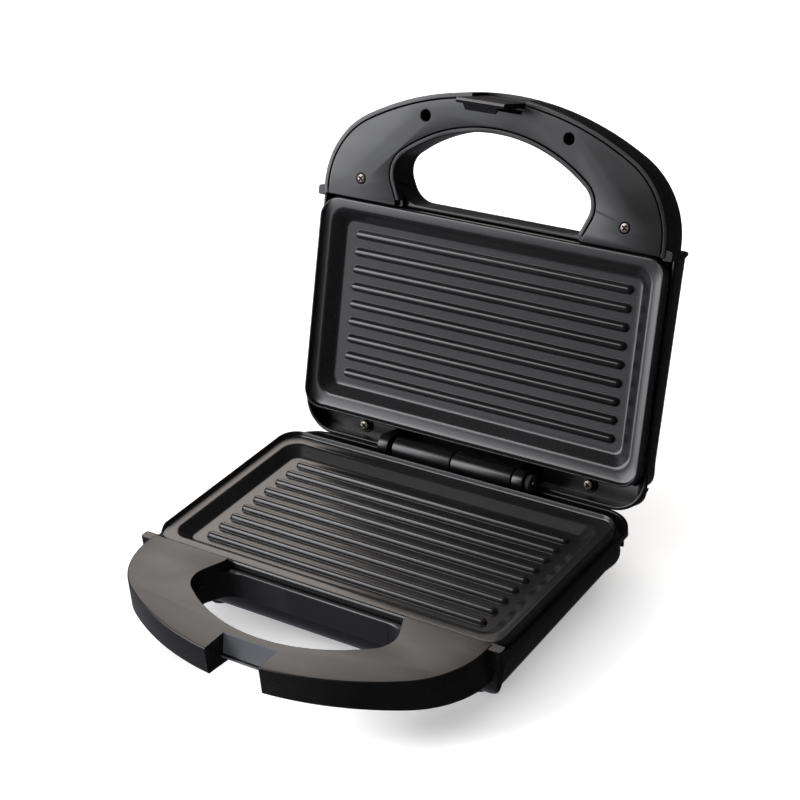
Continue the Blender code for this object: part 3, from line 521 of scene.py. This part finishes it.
def tub_ring(half, insets, depths, radius):
    """One ring of the tub; insets and depths are each for its (sides, front, back)."""
    side, front, back = insets
    start, end = TUB_FRONT + front, TUB_BACK - back
    ring = []
    for x, y in rounded_rect(TUB_HALF_WIDTH - side, start, end, max(TUB_FRONT_RADIUS - front, 2.0), radius):
        frontness = 1 - ease((y - start) / TUB_FRONT_RADIUS)
        backness = ease((y - end + radius) / radius)
        depth = depths[0] + (depths[1] - depths[0]) * frontness + (depths[2] - depths[0]) * backness
        ring.append(half.place(x, y, depth))
    return ring


def tub_face(half, wall, steps, lip):
    """The rings of one face of the tub: its rounded underside, the step in its back, its rim."""
    rings = []
    for turn in range(90, -1, -6):
        lean, fall = 1 - math.cos(math.radians(turn)), math.sin(math.radians(turn))
        insets = [r * lean + wall for r in TUB_ROUNDS]
        insets[2] += TUB_STEP
        depths = [start + (TUB_DEPTH - start) * fall - wall * (turn > 0) for start in TUB_STRAIGHTS]
        rings.append(tub_ring(half, insets, depths, TUB_BACK_RADIUS - 12 * lean - wall))
    radius = TUB_BACK_RADIUS - wall
    for i, (step, depth) in enumerate(steps):
        rise = 0.05 * (i + 1)
        rings.append(tub_ring(half, (wall, wall, step + wall), (5 - rise, 20 - rise, depth), radius))
    for inset, down in lip:
        depths = (TUB_RIM + down, TUB_RIM + down, half.back_rim + down)
        rings.append(tub_ring(half, (inset,) * 3, depths, TUB_BACK_RADIUS - inset))
    return rings


def tub(half):
    lip = edge_round(0.7, 3)
    outer = tub_face(half, 0.0, ((9, 18.2), (8.7, 17.5), (8, 17.2), (1.4, 16.95), (0.4, 16.6), (0, 15.8)),
                     lip[::-1])
    inner = tub_face(half, WALL, ((9, 15), (0, 14.7)), [(WALL - inset, down) for inset, down in lip[::-1]])
    return lofted(half.name + "_shell", outer + inner[::-1])


def loop_tool(half, flare_top, flare_low):
    """The hole of the finger loop, opening a little at both faces to round its edges."""
    levels = [(loop_outline(flare_top), -14.0)]
    levels += [(loop_outline(inset), HANDLE_FACE + down) for inset, down in edge_round(flare_top)]
    for inset, up in reversed(edge_round(flare_low)):
        levels.append((loop_outline(inset), lambda y, up=up: handle_depth(y) - up))
    levels.append((loop_outline(flare_low), 40.0))
    return prism(half, levels)


def handle_shell(half, open_side, round_top):
    """The hollow handle; its outer edge is rounder towards the tub."""
    near, far = handle_outline(half), handle_outline(half, 5.0)
    rings = [[half.place(x, y, HANDLE_FACE + down) for x, y in handle_outline(half, inset)]
             for inset, down in edge_round(round_top)]
    for inset, up in reversed(edge_round(1.0, 6)):
        ring = []
        for (x, y), (far_x, far_y) in zip(near, far):
            radius = 1.2 + half.low_round * along_handle(y)
            share = inset * radius / 5
            ring.append(half.place(x + (far_x - x) * share, y + (far_y - y) * share,
                                   handle_depth(y) - up * radius))
        rings.append(ring)
    shell = lofted("tool", rings)
    hollow = handle_outline(half, HANDLE_WALL, HANDLE_END - HANDLE_WALL)
    if open_side == "outer":
        tool = straight(half, hollow, HANDLE_FACE + HANDLE_WALL, 30.0)
    else:
        tool = straight(half, hollow, -10.0, lambda y: handle_depth(y) - HANDLE_WALL)
    cut(tool, straight(half, loop_outline(HANDLE_WALL, 12.0), -12.0, 34.0))
    cut(shell, tool)
    return cut(shell, loop_tool(half, 0.5, 0.9))


def ear(half, sign, low):
    """The small lug at the end of the handle, its corners rounded."""
    inner = HANDLE_CORNER_X + half.corner - HANDLE_WALL * 0.6
    reach = EAR_REACH - (0.2 if low > 5 else 1.2) - 1.2
    outline = [(sign * inner, -1.6)] + [(sign * x, y) for x, y in
               arc(reach, -0.4, 1.2, -90, 0, 5) + arc(reach, 2.7, 1.2, 0, 90, 5)]
    outline += [(sign * inner, 3.9)]
    return straight(half, outline, -1.5, low)


def loop_corners(half):
    made = []
    for sign in (1, -1):
        levels = [([(sign * x, y) for x, y in loop_corner(0.8)], 4.2),
                  ([(sign * x, y) for x, y in loop_corner()], 5.0),
                  ([(sign * x, y) for x, y in loop_corner()], lambda y: handle_depth(y) - 0.9)]
        made.append(prism(half, levels))
    return made


def deck(half):
    outline = rounded_rect(TUB_HALF_WIDTH - 3.4, TUB_FRONT, TUB_BACK - WALL / 2, 1.0, 17.0)
    shelf = straight(half, outline, DECK_DEPTH, DECK_DEPTH + DECK_THICKNESS)
    return combine(shelf, "INTERSECT", [block(half, -FAR, FAR, DECK_FRONT, FAR, -FAR, FAR)])


def knuckle(half, span):
    axis = half.hinge_depth()
    low = HINGE_Y - BARREL_RADIUS
    web_back = TUB_BACK - WALL / 2
    foot = DECK_DEPTH + DECK_THICKNESS / 2
    web = profile(half, [(low + 0.4, axis), (web_back, axis), (web_back, foot), (low - 1.2, foot)],
                  span[0] + 0.3, span[1] - 0.3)
    return join(bar(half, span[0], span[1], HINGE_Y, axis, BARREL_RADIUS, chamfer=0.5), web)


def housing(half, open_side, knuckles, round_top, ear_depth):
    made = tub(half)
    join(made, handle_shell(half, open_side, round_top), ear(half, -1, ear_depth), ear(half, 1, ear_depth))
    join(made, deck(half), *loop_corners(half))
    join(made, *[knuckle(half, span) for span in knuckles])
    cut(made, bar(half, PIN_LEFT - 5, PIN_RIGHT + 5, HINGE_Y, half.hinge_depth(), PIN_HOLE_RADIUS))
    for x in (-REAR_SCREW_X, REAR_SCREW_X):
        boss = prism(half, [(circle(x, REAR_SCREW_Y, 4.0), DECK_DEPTH - 1.0),
                            (circle(x, REAR_SCREW_Y, 4.4), DECK_DEPTH - 0.6),
                            (circle(x, REAR_SCREW_Y, 4.4), DECK_DEPTH + 6.8),
                            (circle(x, REAR_SCREW_Y, 3.4), DECK_DEPTH + 8)])
        join(made, boss)
        cut(made, post(half, x, REAR_SCREW_Y, SHANK_HOLE_RADIUS, 0, DECK_DEPTH + 6.5))
    return made


def front_block(half):
    reach = NOTCH_HALF_WIDTH + HANDLE_WALL
    made = straight(half, handle_outline(half, HANDLE_WALL / 2), HANDLE_FACE + HANDLE_WALL / 2,
                    lambda y: handle_depth(y) - 0.2)
    clip = block(half, -reach, reach, -90, LOOP_FRONT + HANDLE_WALL / 2 - 0.2, -FAR, FAR)
    combine(made, "INTERSECT", [clip])
    return cut(made, straight(half, loop_outline(HANDLE_WALL / 2), -14.0, 36.0))


def notch_tool(half):
    outline = [(-80, -6), (-51, -6), (-51, HANDLE_FACE), (-53.6, 9.2), (-55, 9.5), (-55, 10.8),
               (-47.5, 10.8), (-47.5, 30), (-80, 30)]
    return profile(half, outline, -NOTCH_HALF_WIDTH, NOTCH_HALF_WIDTH)


def paint_notch_reflection(made):
    """The front-facing back wall of the notch gets a lighter blue-grey material: a painted reflection on the
    black housing.
    """
    made.data.materials.append(MATERIALS["housing"])
    made.data.materials.append(MATERIALS["notch"])
    for face in made.data.polygons:
        centre = (made.matrix_world @ face.center) * 1000
        y = centre.y + MIDDLE_Y
        if abs(centre.x) < NOTCH_HALF_WIDTH - 0.1 and -55.6 < y < -50.6 and face.normal.y < -0.5:
            face.material_index = 1


def base_housing():
    half = BASE
    made = housing(half, "outer", BASE_KNUCKLES, 0.7, 9.5)
    join(made, front_block(half))
    cut(made, notch_tool(half))
    for left, right in LID_KNUCKLES:
        cut(made, block(half, left - 0.5, right + 0.5, TUB_BACK - WALL - 1.4, TUB_BACK + 2, -1, 8))
    for sign in (-1, 1):
        x = sign * COVER_SCREW_X
        join(made, post(half, x, COVER_SCREW_Y, COVER_POST_RADIUS, HANDLE_FACE + HANDLE_WALL / 2, 14.4))
        cut(made, post(half, x, COVER_SCREW_Y, SHANK_HOLE_RADIUS, 4, 40))
        for y in (POST_FRONT_Y, POST_BACK_Y):
            x = sign * POST_X
            join(made, post(half, x, y, POST_RADIUS, 9.5, TUB_DEPTH - WALL / 2))
            cut(made, post(half, x, y, SHANK_HOLE_RADIUS, 5, 50),
                post(half, x, y, HEAD_RECESS_RADIUS, TUB_DEPTH - 3, 50))
        for y, top in ((FOOT_FRONT_Y, TUB_DEPTH - 4), (FOOT_BACK_Y, TUB_STRAIGHTS[2])):
            x = sign * FOOT_X
            boss, rounded = circle(x, y, FOOT_BOSS_RADIUS), circle(x, y, 8.2)
            join(made, prism(half, [(boss, top), (boss, TUB_DEPTH - 0.4), (rounded, TUB_DEPTH)]))
    for row in range(SLOT_COUNT):
        x = (row - SLOT_COUNT // 2) * SLOT_PITCH
        slot = arc(x, SLOT_FRONT, SLOT_RADIUS, 180, 360, 10) + arc(x, SLOT_BACK, SLOT_RADIUS, 0, 180, 10)
        cut(made, straight(half, slot, TUB_DEPTH - WALL * 0.55, 60))
    gland = lofted("tool", [[half.place(x, y, d) for x, d in circle(GLAND_X, GLAND_DEPTH, 5.1)]
                            for y in (120, 160)])
    cut(made, gland)
    smooth(made)
    # Painted reflection on the notch's back wall.
    paint_notch_reflection(made)
    return dress(made, "housing", "housing", "base", "base_housing")


def lid_housing():
    half = LID
    made = housing(half, "plate", LID_KNUCKLES, 0.5, 3.5)
    inner, outer = LATCH_HALF_WIDTH + LATCH_CLEARANCE, LATCH_HALF_WIDTH + 6.8
    for sign in (-1, 1):
        x0, x1 = sorted((sign * inner, sign * outer))
        join(made, block(half, x0, x1, -63.4, -55.8, 2.6, 14.4))
    slot = [(-80, -8), (-60.4, -8), (-56, 0), (-56, LATCH_PIVOT_DEPTH + 4.6), (-80, LATCH_PIVOT_DEPTH + 4.6)]
    cut(made, profile(half, slot, -inner, inner))
    seat = HANDLE_CORNER_X + half.corner - HANDLE_WALL - 0.3
    cut(made, block(half, -seat, seat, -1, 2.8, -3, 1))
    reach = LATCH_HALF_WIDTH + 5.2
    cut(made, bar(half, -reach, reach, LATCH_PIVOT_Y, LATCH_PIVOT_DEPTH, LATCH_PIN_HOLE_RADIUS))
    for sign in (-1, 1):
        x = sign * COVER_SCREW_X
        join(made, post(half, x, COVER_SCREW_Y, COVER_POST_RADIUS, 1.1, 17.4))
        cut(made, post(half, x, COVER_SCREW_Y, SHANK_HOLE_RADIUS, -1, 14))
        cut(made, post(half, sign * LAMP_X, LAMP_Y, 3.5, 30, 40))
        groove = ((4.5, TUB_DEPTH - 0.4), (5.2, TUB_DEPTH - 0.4), (5.2, 50), (4.5, 50))
        cut(made, lofted("tool", [[half.place(px, py, d) for px, py in circle(sign * LAMP_X, LAMP_Y, r)]
                                  for r, d in groove], True))
    return dress(smooth(made), "housing", "housing", "lid", "lid_housing")


# --- Handle covers ----------------------------------------------------------------------------


def lid_handle_cover():
    half = LID
    inset = HANDLE_WALL + 0.7
    end = 2.4
    levels = [(handle_outline(half, inset + i, end - i), HANDLE_FACE + d) for i, d in edge_round(0.45)]
    made = prism(half, levels + [(handle_outline(half, inset, end), 0.7)], "lid_cover")
    hole = [(loop_outline(inset + 0.45, 14.0), -14.0)]
    hole += [(loop_outline(inset + i, 14.0), HANDLE_FACE + d) for i, d in edge_round(0.45)]
    cut(made, prism(half, hole + [(loop_outline(inset, 14.0), 20.0)]))
    wide, narrow = LATCH_HALF_WIDTH + LATCH_CLEARANCE, LATCH_HALF_WIDTH - 0.4
    recess = [(-wide, -80), (wide, -80), (wide, -63), (narrow, -58.6), (-narrow, -58.6), (-wide, -63)]
    cut(made, straight(half, recess, -10, 10))
    for sign in (-1, 1):
        peep = [(circle(sign * PEEP_X, PEEP_Y, 3.5), -6), (circle(sign * PEEP_X, PEEP_Y, 3.5), HANDLE_FACE),
                (circle(sign * PEEP_X, PEEP_Y, 3.1), HANDLE_FACE + 0.4),
                (circle(sign * PEEP_X, PEEP_Y, 3.1), 6)]
        x = sign * COVER_SCREW_X
        cut(made, prism(half, peep), post(half, x, COVER_SCREW_Y, SHANK_HOLE_RADIUS, -9, 9),
            post(half, x, COVER_SCREW_Y, HEAD_RECESS_RADIUS, -9, -0.1))
    return dress(smooth(made), "cover", "housing", "lid", "lid_handle_cover")


def peep_well(sign):
    """The dark sleeve behind a round hole of the lid's handle cover, with its small bright pin."""
    half = LID
    x, y = sign * PEEP_X, PEEP_Y
    depths = ((3.05, 0.75), (4.0, 0.75), (4.0, 12.2), (0.9, 12.2), (0.9, 4.0), (0.6, 3.7), (0.6, 11.0),
              (3.05, 11.0))
    sleeve = lofted(f"lid_peep_well_{'left' if sign < 0 else 'right'}",
                    [[half.place(px, py, d) for px, py in circle(x, y, r)] for r, d in depths], True)
    return dress(smooth(sleeve), "cover", "housing", "lid")


def base_handle_cover(side, sign):
    half = BASE
    inset = HANDLE_WALL + 0.3
    end = HANDLE_END - inset
    top, low = (lambda y: handle_depth(y) - 2.3), (lambda y: handle_depth(y) - 0.6)
    levels = [(handle_outline(half, inset, end), top), (handle_outline(half, inset, end), low),
              (handle_outline(half, inset + 0.3, end - 0.3), lambda y: handle_depth(y) - 0.3)]
    made = prism(half, levels, f"base_cover_{side}")
    cut(made, straight(half, loop_outline(inset, 14.0), -14, 40))
    near = sign * (NOTCH_HALF_WIDTH + HANDLE_WALL + 0.3)
    x0, x1 = sorted((near, sign * FAR))
    combine(made, "INTERSECT", [block(half, x0, x1, -FAR, FAR, -FAR, FAR)])
    cut(made, post(half, sign * COVER_SCREW_X, COVER_SCREW_Y, SHANK_HOLE_RADIUS, -9, 60))
    return dress(smooth(made), "cover", "housing", "base", f"base_handle_cover_{side}")


# --- Cooking plates ---------------------------------------------------------------------------


def plate_ring(half, offset, depth, radius, rise=0.0):
    """A ring between the well and the outer edge. offset is how far inside the outer edge it runs."""
    front, back = PLATE_FRONT + offset[0], PLATE_BACK - offset[1]
    ring = []
    for x, y in rounded_rect(PLATE_HALF_WIDTH - offset[2], front, back, radius, radius):
        share = ease((y - front) / (radius + 3))
        ring.append(half.place(x, y, depth - rise * share))
    return ring


def rib(half, y):
    """A rib with round ends and a domed top, from (half width, rise) sections, sunk into the floor."""
    rings = []
    left, right = RIB_END_RADIUS + RIB_LEFT, RIB_RIGHT - RIB_END_RADIUS
    sections = ((RIB_END_RADIUS, 1.0), (RIB_END_RADIUS, 0.0), (2.42, -0.7), (2.1, -1.5), (1.7, -2.15),
                (1.2, -2.6), (0.6, -2.8))
    for half_width, rise in sections:
        outline = arc(right, y, half_width, -90, 90, 10) + arc(left, y, half_width, 90, 270, 10)
        rings.append([half.place(px, py, WELL_DEPTH + rise) for px, py in outline])
    return lofted("tool", rings)


def cooking_plate(half):
    """A pressed plate: ribbed floor, sloped well, flat rim, upstand on three sides and a skirt."""
    floor, top = (12.4, 15.2, 14.4), (6.7, 9.0, 7.8)

    def between(share):
        return tuple(a + (b - a) * share for a, b in zip(floor, top))

    def all_round(inset):
        return (inset, inset, inset)

    rings = [
        plate_ring(half, tuple(o + 1.2 for o in floor), 5.0, 4.4),
        plate_ring(half, tuple(o + 0.5 for o in floor), 4.93, 4.8),
        plate_ring(half, between(0.03), 4.65, 5.2),
        plate_ring(half, between(0.1), 4.3, 5.6),
        plate_ring(half, between(0.88), 0.75, 8.5),
        plate_ring(half, between(0.96), 0.35, 8.8),
        plate_ring(half, tuple(o - 0.5 for o in top), 0.07, 9.2),
        plate_ring(half, tuple(o - 1.3 for o in top), 0.0, 9.6),
        plate_ring(half, (1.9, 2.4, 2.4), 0.0, 9.0),
        plate_ring(half, (1.6, 1.95, 1.95), 0.02, 9.3, 0.35),
        plate_ring(half, (1.4, 1.65, 1.65), 0.06, 9.6, 1.0),
        plate_ring(half, (1.2, 1.4, 1.4), 0.1, 9.9, 2.3),
        plate_ring(half, (1.0, 1.1, 1.1), 0.2, 10.1, 2.85),
        plate_ring(half, (0.75, 0.75, 0.75), 0.4, 10.4, 3.1),
        plate_ring(half, (0.4, 0.4, 0.4), 0.75, 10.8, 3.3),
        plate_ring(half, (0.12, 0.12, 0.12), 1.3, 11.1, 3.3),
        plate_ring(half, all_round(0), 2.0, 11.2, 2.7),
        plate_ring(half, all_round(0), 4.8, 11.2),
        plate_ring(half, all_round(0.3), 5.0, 11.0),
        plate_ring(half, all_round(1.6), 5.0, 9.6),
        plate_ring(half, all_round(2.0), 2.2, 9.2),
        plate_ring(half, (5.3, 7.6, 6.4), 2.2, 9.0),
        plate_ring(half, (11.2, 14.0, 13.2), 7.2, 6.0),
    ]
    made = lofted(half.name + "_plate", rings)
    ribs = [rib(half, RIB_MIDDLE_Y + RIB_PITCH * (i - RIB_COUNT // 2)) for i in range(RIB_COUNT)]
    made = merged(half.name + "_plate", [made] + ribs)
    return dress(smooth(made, 40), "plate", "plate", half.name, half.name + "_cooking_plate")


# --- Screws, pins, feet and the gland ---------------------------------------------------------


def cross_tool(half, x, y, head_at, towards):
    """The tapered cross of a Phillips recess."""
    pieces = []
    for turn in (0.6, 0.6 + math.pi / 2):
        rings = []
        for reach, width, depth in ((2.1, 0.5, -0.5), (1.85, 0.42, 0.2), (0.6, 0.26, 1.3)):
            corners = [(reach, width), (-reach, width), (-reach, -width), (reach, -width)]
            rings.append([half.place(x + a * math.cos(turn) - b * math.sin(turn),
                                     y + a * math.sin(turn) + b * math.cos(turn),
                                     head_at + towards * depth) for a, b in corners])
        pieces.append(lofted("tool", rings))
    return pieces


def screw(half, node, x, y, head_at, towards, length):
    name = node.replace("screw", "phillips_screw")
    levels = [(0.7, 0.0), (1.7, 0.04), (2.4, 0.18), (2.8, 0.45), (3.0, 0.85), (3.05, 1.3), (3.05, 1.65),
              (2.9, 1.8), (1.4, 1.8)]
    for i in range(int((length - 2.6) / 0.8)):
        levels += [(1.4, 2.2 + 0.8 * i), (1.15, 2.5 + 0.8 * i), (1.4, 2.8 + 0.8 * i)]
    levels += [(1.1, length - 0.4), (0.8, length)]
    rings = [[half.place(px, py, head_at + towards * d) for px, py in circle(x, y, r, 32)]
             for r, d in levels]
    made = cut(lofted(name, rings), *cross_tool(half, x, y, head_at, towards))
    return dress(smooth(made, 38), "screw", "steel", half.name, node)


def screws():
    for side, sign in (("left", -1), ("right", 1)):
        for end, y in (("front", POST_FRONT_Y), ("rear", POST_BACK_Y)):
            screw(BASE, f"base_plate_screw_{end}_{side}", sign * POST_X, y, TUB_DEPTH - 0.4, -1, 25)
        screw(BASE, f"base_cover_screw_{side}", sign * COVER_SCREW_X, COVER_SCREW_Y,
              handle_depth(COVER_SCREW_Y) + 2.0, -1, 10)
        screw(LID, f"lid_cover_screw_{side}", sign * COVER_SCREW_X, COVER_SCREW_Y, -2.2, 1, 10)
        for half in (BASE, LID):
            screw(half, f"{half.name}_rear_screw_{side}", sign * REAR_SCREW_X, REAR_SCREW_Y,
                  DECK_DEPTH - 3.1, 1, 9)


def turned(half, name, x, y, levels, steps=48):
    """A closed round body along the depth from (radius, depth) pairs."""
    return lofted(name, [[half.place(px, py, d) for px, py in circle(x, y, r, steps)] for r, d in levels])


def feet():
    levels = [(7.4, 36.3), (7.5, 36.6), (7.5, 40.6), (7.2, 41.6), (6.6, 43.2), (6.35, 43.8), (6.1, 44.0),
              (4.4, 44.0), (4.1, 43.7), (4.1, 43.2)]
    for side, sign in (("left", -1), ("right", 1)):
        for end, y in (("front", FOOT_FRONT_Y), ("rear", FOOT_BACK_Y)):
            made = turned(BASE, f"rubber_foot_{end}_{side}", sign * FOOT_X, y, levels)
            dress(smooth(made), "rubber", "rubber", "base", f"foot_{end}_{side}")


def hinge_pin():
    made = bar(BASE, PIN_LEFT, PIN_RIGHT, HINGE_Y, BASE.hinge_depth(), PIN_RADIUS, "steel_hinge_pin", 0.5)
    return dress(smooth(made), "pin", "steel", "base", "hinge_pin")


def pin_collar():
    """The dark bush on the hinge pin, to the right of the base's short knuckle."""
    levels = ((2.1, 45.9), (4.2, 45.9), (4.6, 46.3), (4.6, 48.6), (4.2, 49.0), (2.1, 49.0))
    axis = BASE.hinge_depth()
    rings = [[BASE.place(x, y, d) for y, d in circle(HINGE_Y, axis, r)] for r, x in levels]
    return dress(smooth(lofted("hinge_pin_bush", rings, True)), "rubber", "housing", "base")


def latch_pin():
    made = bar(LID, -19.6, 19.6, LATCH_PIVOT_Y, LATCH_PIVOT_DEPTH, 1.25, "steel_latch_pin", 0.3, 24)
    return dress(smooth(made), "pin", "steel", "lid", "latch_pin")


def cord_gland():
    """The bush where the mains lead would leave, with grip rings and a tapered nose."""
    profile_points = [(3.2, 127.5), (4.8, 127.5), (4.8, 134.3), (5.9, 134.4), (6.2, 134.7), (6.2, 136.1),
                      (5.9, 136.4), (5.2, 136.5)]
    for i in range(3):
        y = 137.0 + 1.2 * i
        radius = 5.0 - 0.25 * i
        profile_points += [(radius, y), (radius, y + 0.5), (radius - 0.5, y + 0.6), (radius - 0.5, y + 1.1)]
    profile_points += [(4.4, 141.2), (4.1, 141.5), (3.5, 141.5), (3.2, 141.2)]
    rings = [[BASE.place(px, y, d) for px, d in circle(GLAND_X, GLAND_DEPTH, r)] for r, y in profile_points]
    made = lofted("cord_bush", rings, True)
    return dress(smooth(made), "rubber", "rubber", "base", "cord_gland")


def indicators():
    """Domed lens caps in the lid's top."""
    for side, sign in (("red", -1), ("green", 1)):
        levels = [(4.4, 32.6), (4.4, 33.5), (3.2, 33.5), (3.2, 36.0), (3.1, 36.3), (2.6, 36.5), (1.6, 36.6),
                  (0.6, 36.6)]
        made = turned(LID, f"{side}_lens_cap", sign * LAMP_X, LAMP_Y, levels, 32)
        dress(smooth(made), side + "_lens", side + "_lens", "lid", "lens_" + side)


def latch():
    """The clip: a plate that hangs from its pin, with a hook at its free end, its corners cut away."""
    half = LID
    inner = LATCH_OUTER + LATCH_THICKNESS
    tip = LATCH_REACH
    outline = [(LATCH_OUTER, 11.0), (LATCH_OUTER, tip + 1.2), (LATCH_OUTER + 0.35, tip + 0.35),
               (LATCH_OUTER + 1.3, tip), (LATCH_OUTER + 1.7, tip + 0.1), (inner + LATCH_HOOK - 0.2, tip + 1.7),
               (inner + LATCH_HOOK, tip + 1.9), (inner + LATCH_HOOK, tip + 2.1), (inner + 0.4, tip + 3.1),
               (inner, tip + 3.5), (inner, 11.0)]
    made = profile(half, outline, -LATCH_HALF_WIDTH, LATCH_HALF_WIDTH, "latch_clip")
    barrel = bar(half, -LATCH_HALF_WIDTH + 0.2, LATCH_HALF_WIDTH - 0.2, LATCH_PIVOT_Y, LATCH_PIVOT_DEPTH, 3.4)
    join(made, barrel)
    for sign in (-1, 1):
        bevel = [(sign * 9.4, inner + LATCH_HOOK + 0.1), (sign * 20, inner + LATCH_HOOK + 0.1),
                 (sign * 20, inner), (sign * 10.8, inner)]
        cut(made, straight(half, bevel, tip - 2, tip + 4.8))
    cut(made, bar(half, -20, 20, LATCH_PIVOT_Y, LATCH_PIVOT_DEPTH, LATCH_PIN_HOLE_RADIUS))
    return dress(smooth(made), "latch", "housing", "latch", "latch")


# --- What stays from the CAD ------------------------------------------------------------------

KEPT = {
    "base_heating_element": "element", "lid_heating_element": "element",
    "base_reflector": "reflector", "lid_reflector": "reflector", "thermal_fuse": "reflector",
    "thermostat": "phenolic", "terminal_block": "phenolic", "lamp_red": "lamp", "lamp_green": "lamp",
}


def dress_kept_nodes():
    for node, finish in KEPT.items():
        mesh = frame["nodes"][node].data
        for i in range(max(len(mesh.materials), 1)):
            if mesh.materials:
                mesh.materials[i] = MATERIALS[finish]
            else:
                mesh.materials.append(MATERIALS[finish])


# --- Floor, light and camera ------------------------------------------------------------------


def floor():
    mesh = bpy.data.meshes.new("floor")
    mesh.from_pydata([(-9, -9, 0), (9, -9, 0), (9, 9, 0), (-9, 9, 0)], [], [(0, 1, 2, 3)])
    made = bpy.data.objects.new("floor", mesh)
    bpy.context.scene.collection.objects.link(made)
    shade = bpy.data.materials.new("floor")
    shade.use_nodes = True
    principled = shade.node_tree.nodes["Principled BSDF"]
    principled.inputs["Base Color"].default_value = (0.86, 0.86, 0.86, 1)
    principled.inputs["Roughness"].default_value = 0.9
    principled.inputs["Specular IOR Level"].default_value = 0.1
    principled.inputs["Emission Color"].default_value = (1, 1, 1, 1)
    principled.inputs["Emission Strength"].default_value = 0.36
    mesh.materials.append(shade)
    made.visible_glossy = False


def softbox(name, position, target, size, power, tone=(1, 1, 1)):
    light = bpy.data.lights.new(name, "AREA")
    light.shape = "RECTANGLE"
    light.size, light.size_y = size
    light.energy = power
    light.color = tone
    made = bpy.data.objects.new(name, light)
    made.location = position
    made.rotation_mode = "QUATERNION"
    made.rotation_quaternion = (Vector(target) - Vector(position)).to_track_quat("-Z", "Y")
    made.visible_glossy = False
    bpy.context.scene.collection.objects.link(made)


SURROUND = (0.03, 0.03, 0.033)
SEEN_BY_CAMERA = (0.93, 0.93, 0.93)
# Each patch of the surround: its direction, where it starts and where it is full in degrees off it, its tone.
PATCHES = (
    ((-0.54, 0.61, 0.58), 21, 8, (3.7, 3.42, 3.2)),
    ((-0.50, -0.59, 0.63), 16, 6, (8.0, 8.0, 8.0)),
    ((-0.77, -0.59, 0.27), 27, 11, (7.4, 7.45, 7.75)),
    ((-0.90, 0.10, -0.42), 62, 25, (0.20, 0.20, 0.235)),
    ((-0.45, -0.75, -0.30), 40, 15, (0.09, 0.092, 0.106)),
)


def world():
    """A dark studio surround with soft bright patches; straight to the camera it is pale."""
    made = bpy.data.worlds.new("studio")
    bpy.context.scene.world = made
    made.use_nodes = True
    tree = made.node_tree
    place = tree.nodes.new("ShaderNodeTexCoord")
    total = tree.nodes.new("ShaderNodeRGB")
    total.outputs[0].default_value = (*SURROUND, 1)
    total = total.outputs[0]
    for direction, start, full, tone in PATCHES:
        dot = tree.nodes.new("ShaderNodeVectorMath")
        dot.operation = "DOT_PRODUCT"
        dot.inputs[1].default_value = Vector(direction).normalized()
        tree.links.new(place.outputs["Generated"], dot.inputs[0])
        share = tree.nodes.new("ShaderNodeMapRange")
        share.interpolation_type = "SMOOTHSTEP"
        share.inputs["From Min"].default_value = math.cos(math.radians(start))
        share.inputs["From Max"].default_value = math.cos(math.radians(full))
        tree.links.new(dot.outputs["Value"], share.inputs["Value"])
        lit = tree.nodes.new("ShaderNodeVectorMath")
        lit.operation = "MULTIPLY_ADD"
        lit.inputs[1].default_value = tone
        tree.links.new(share.outputs["Result"], lit.inputs[0])
        tree.links.new(total, lit.inputs[2])
        total = lit.outputs["Vector"]
    seen = tree.nodes.new("ShaderNodeLightPath")
    mix = tree.nodes.new("ShaderNodeMix")
    mix.data_type = "RGBA"
    colours = [s for s in mix.inputs if s.type == "RGBA"]
    tree.links.new(seen.outputs["Is Camera Ray"], mix.inputs["Factor"])
    tree.links.new(total, colours[0])
    colours[1].default_value = (*SEEN_BY_CAMERA, 1)
    mixed = [s for s in mix.outputs if s.type == "RGBA"][0]
    tree.links.new(mixed, tree.nodes["Background"].inputs["Color"])


def camera():
    azimuth, elevation, roll = map(math.radians, (36.80, 28.81, -5.41))
    back = Vector((math.sin(azimuth) * math.cos(elevation), -math.cos(azimuth) * math.cos(elevation),
                   math.sin(elevation)))
    side = Vector((math.cos(azimuth), math.sin(azimuth), 0))
    up = back.cross(side)
    right = math.cos(roll) * side + math.sin(roll) * up
    above = -math.sin(roll) * side + math.cos(roll) * up
    target = Vector((-0.07249, 0.18693 - MIDDLE_Y * 0.001, 0.044))
    lens_data = bpy.data.cameras.new("camera")
    lens_data.sensor_width = 36
    lens_data.lens = 1982.2 * 36 / 800
    lens_data.clip_start, lens_data.clip_end = 0.05, 60
    made = bpy.data.objects.new("camera", lens_data)
    turn = Matrix((right, above, back)).transposed().to_4x4()
    made.matrix_world = Matrix.Translation(target + back * 1.17897) @ turn
    bpy.context.scene.collection.objects.link(made)
    bpy.context.scene.camera = made


base_housing()
lid_housing()
lid_handle_cover()
for hand in (-1, 1):
    peep_well(hand)
base_handle_cover("left", -1)
base_handle_cover("right", 1)
cooking_plate(BASE)
cooking_plate(LID)
screws()
feet()
hinge_pin()
pin_collar()
latch_pin()
cord_gland()
indicators()
latch()
dress_kept_nodes()

floor()
world()
camera()
softbox("overhead", (0, 0, 2.6), (0, 0, 0), (5, 5), 120)
bpy.context.scene.view_settings.view_transform = "Standard"
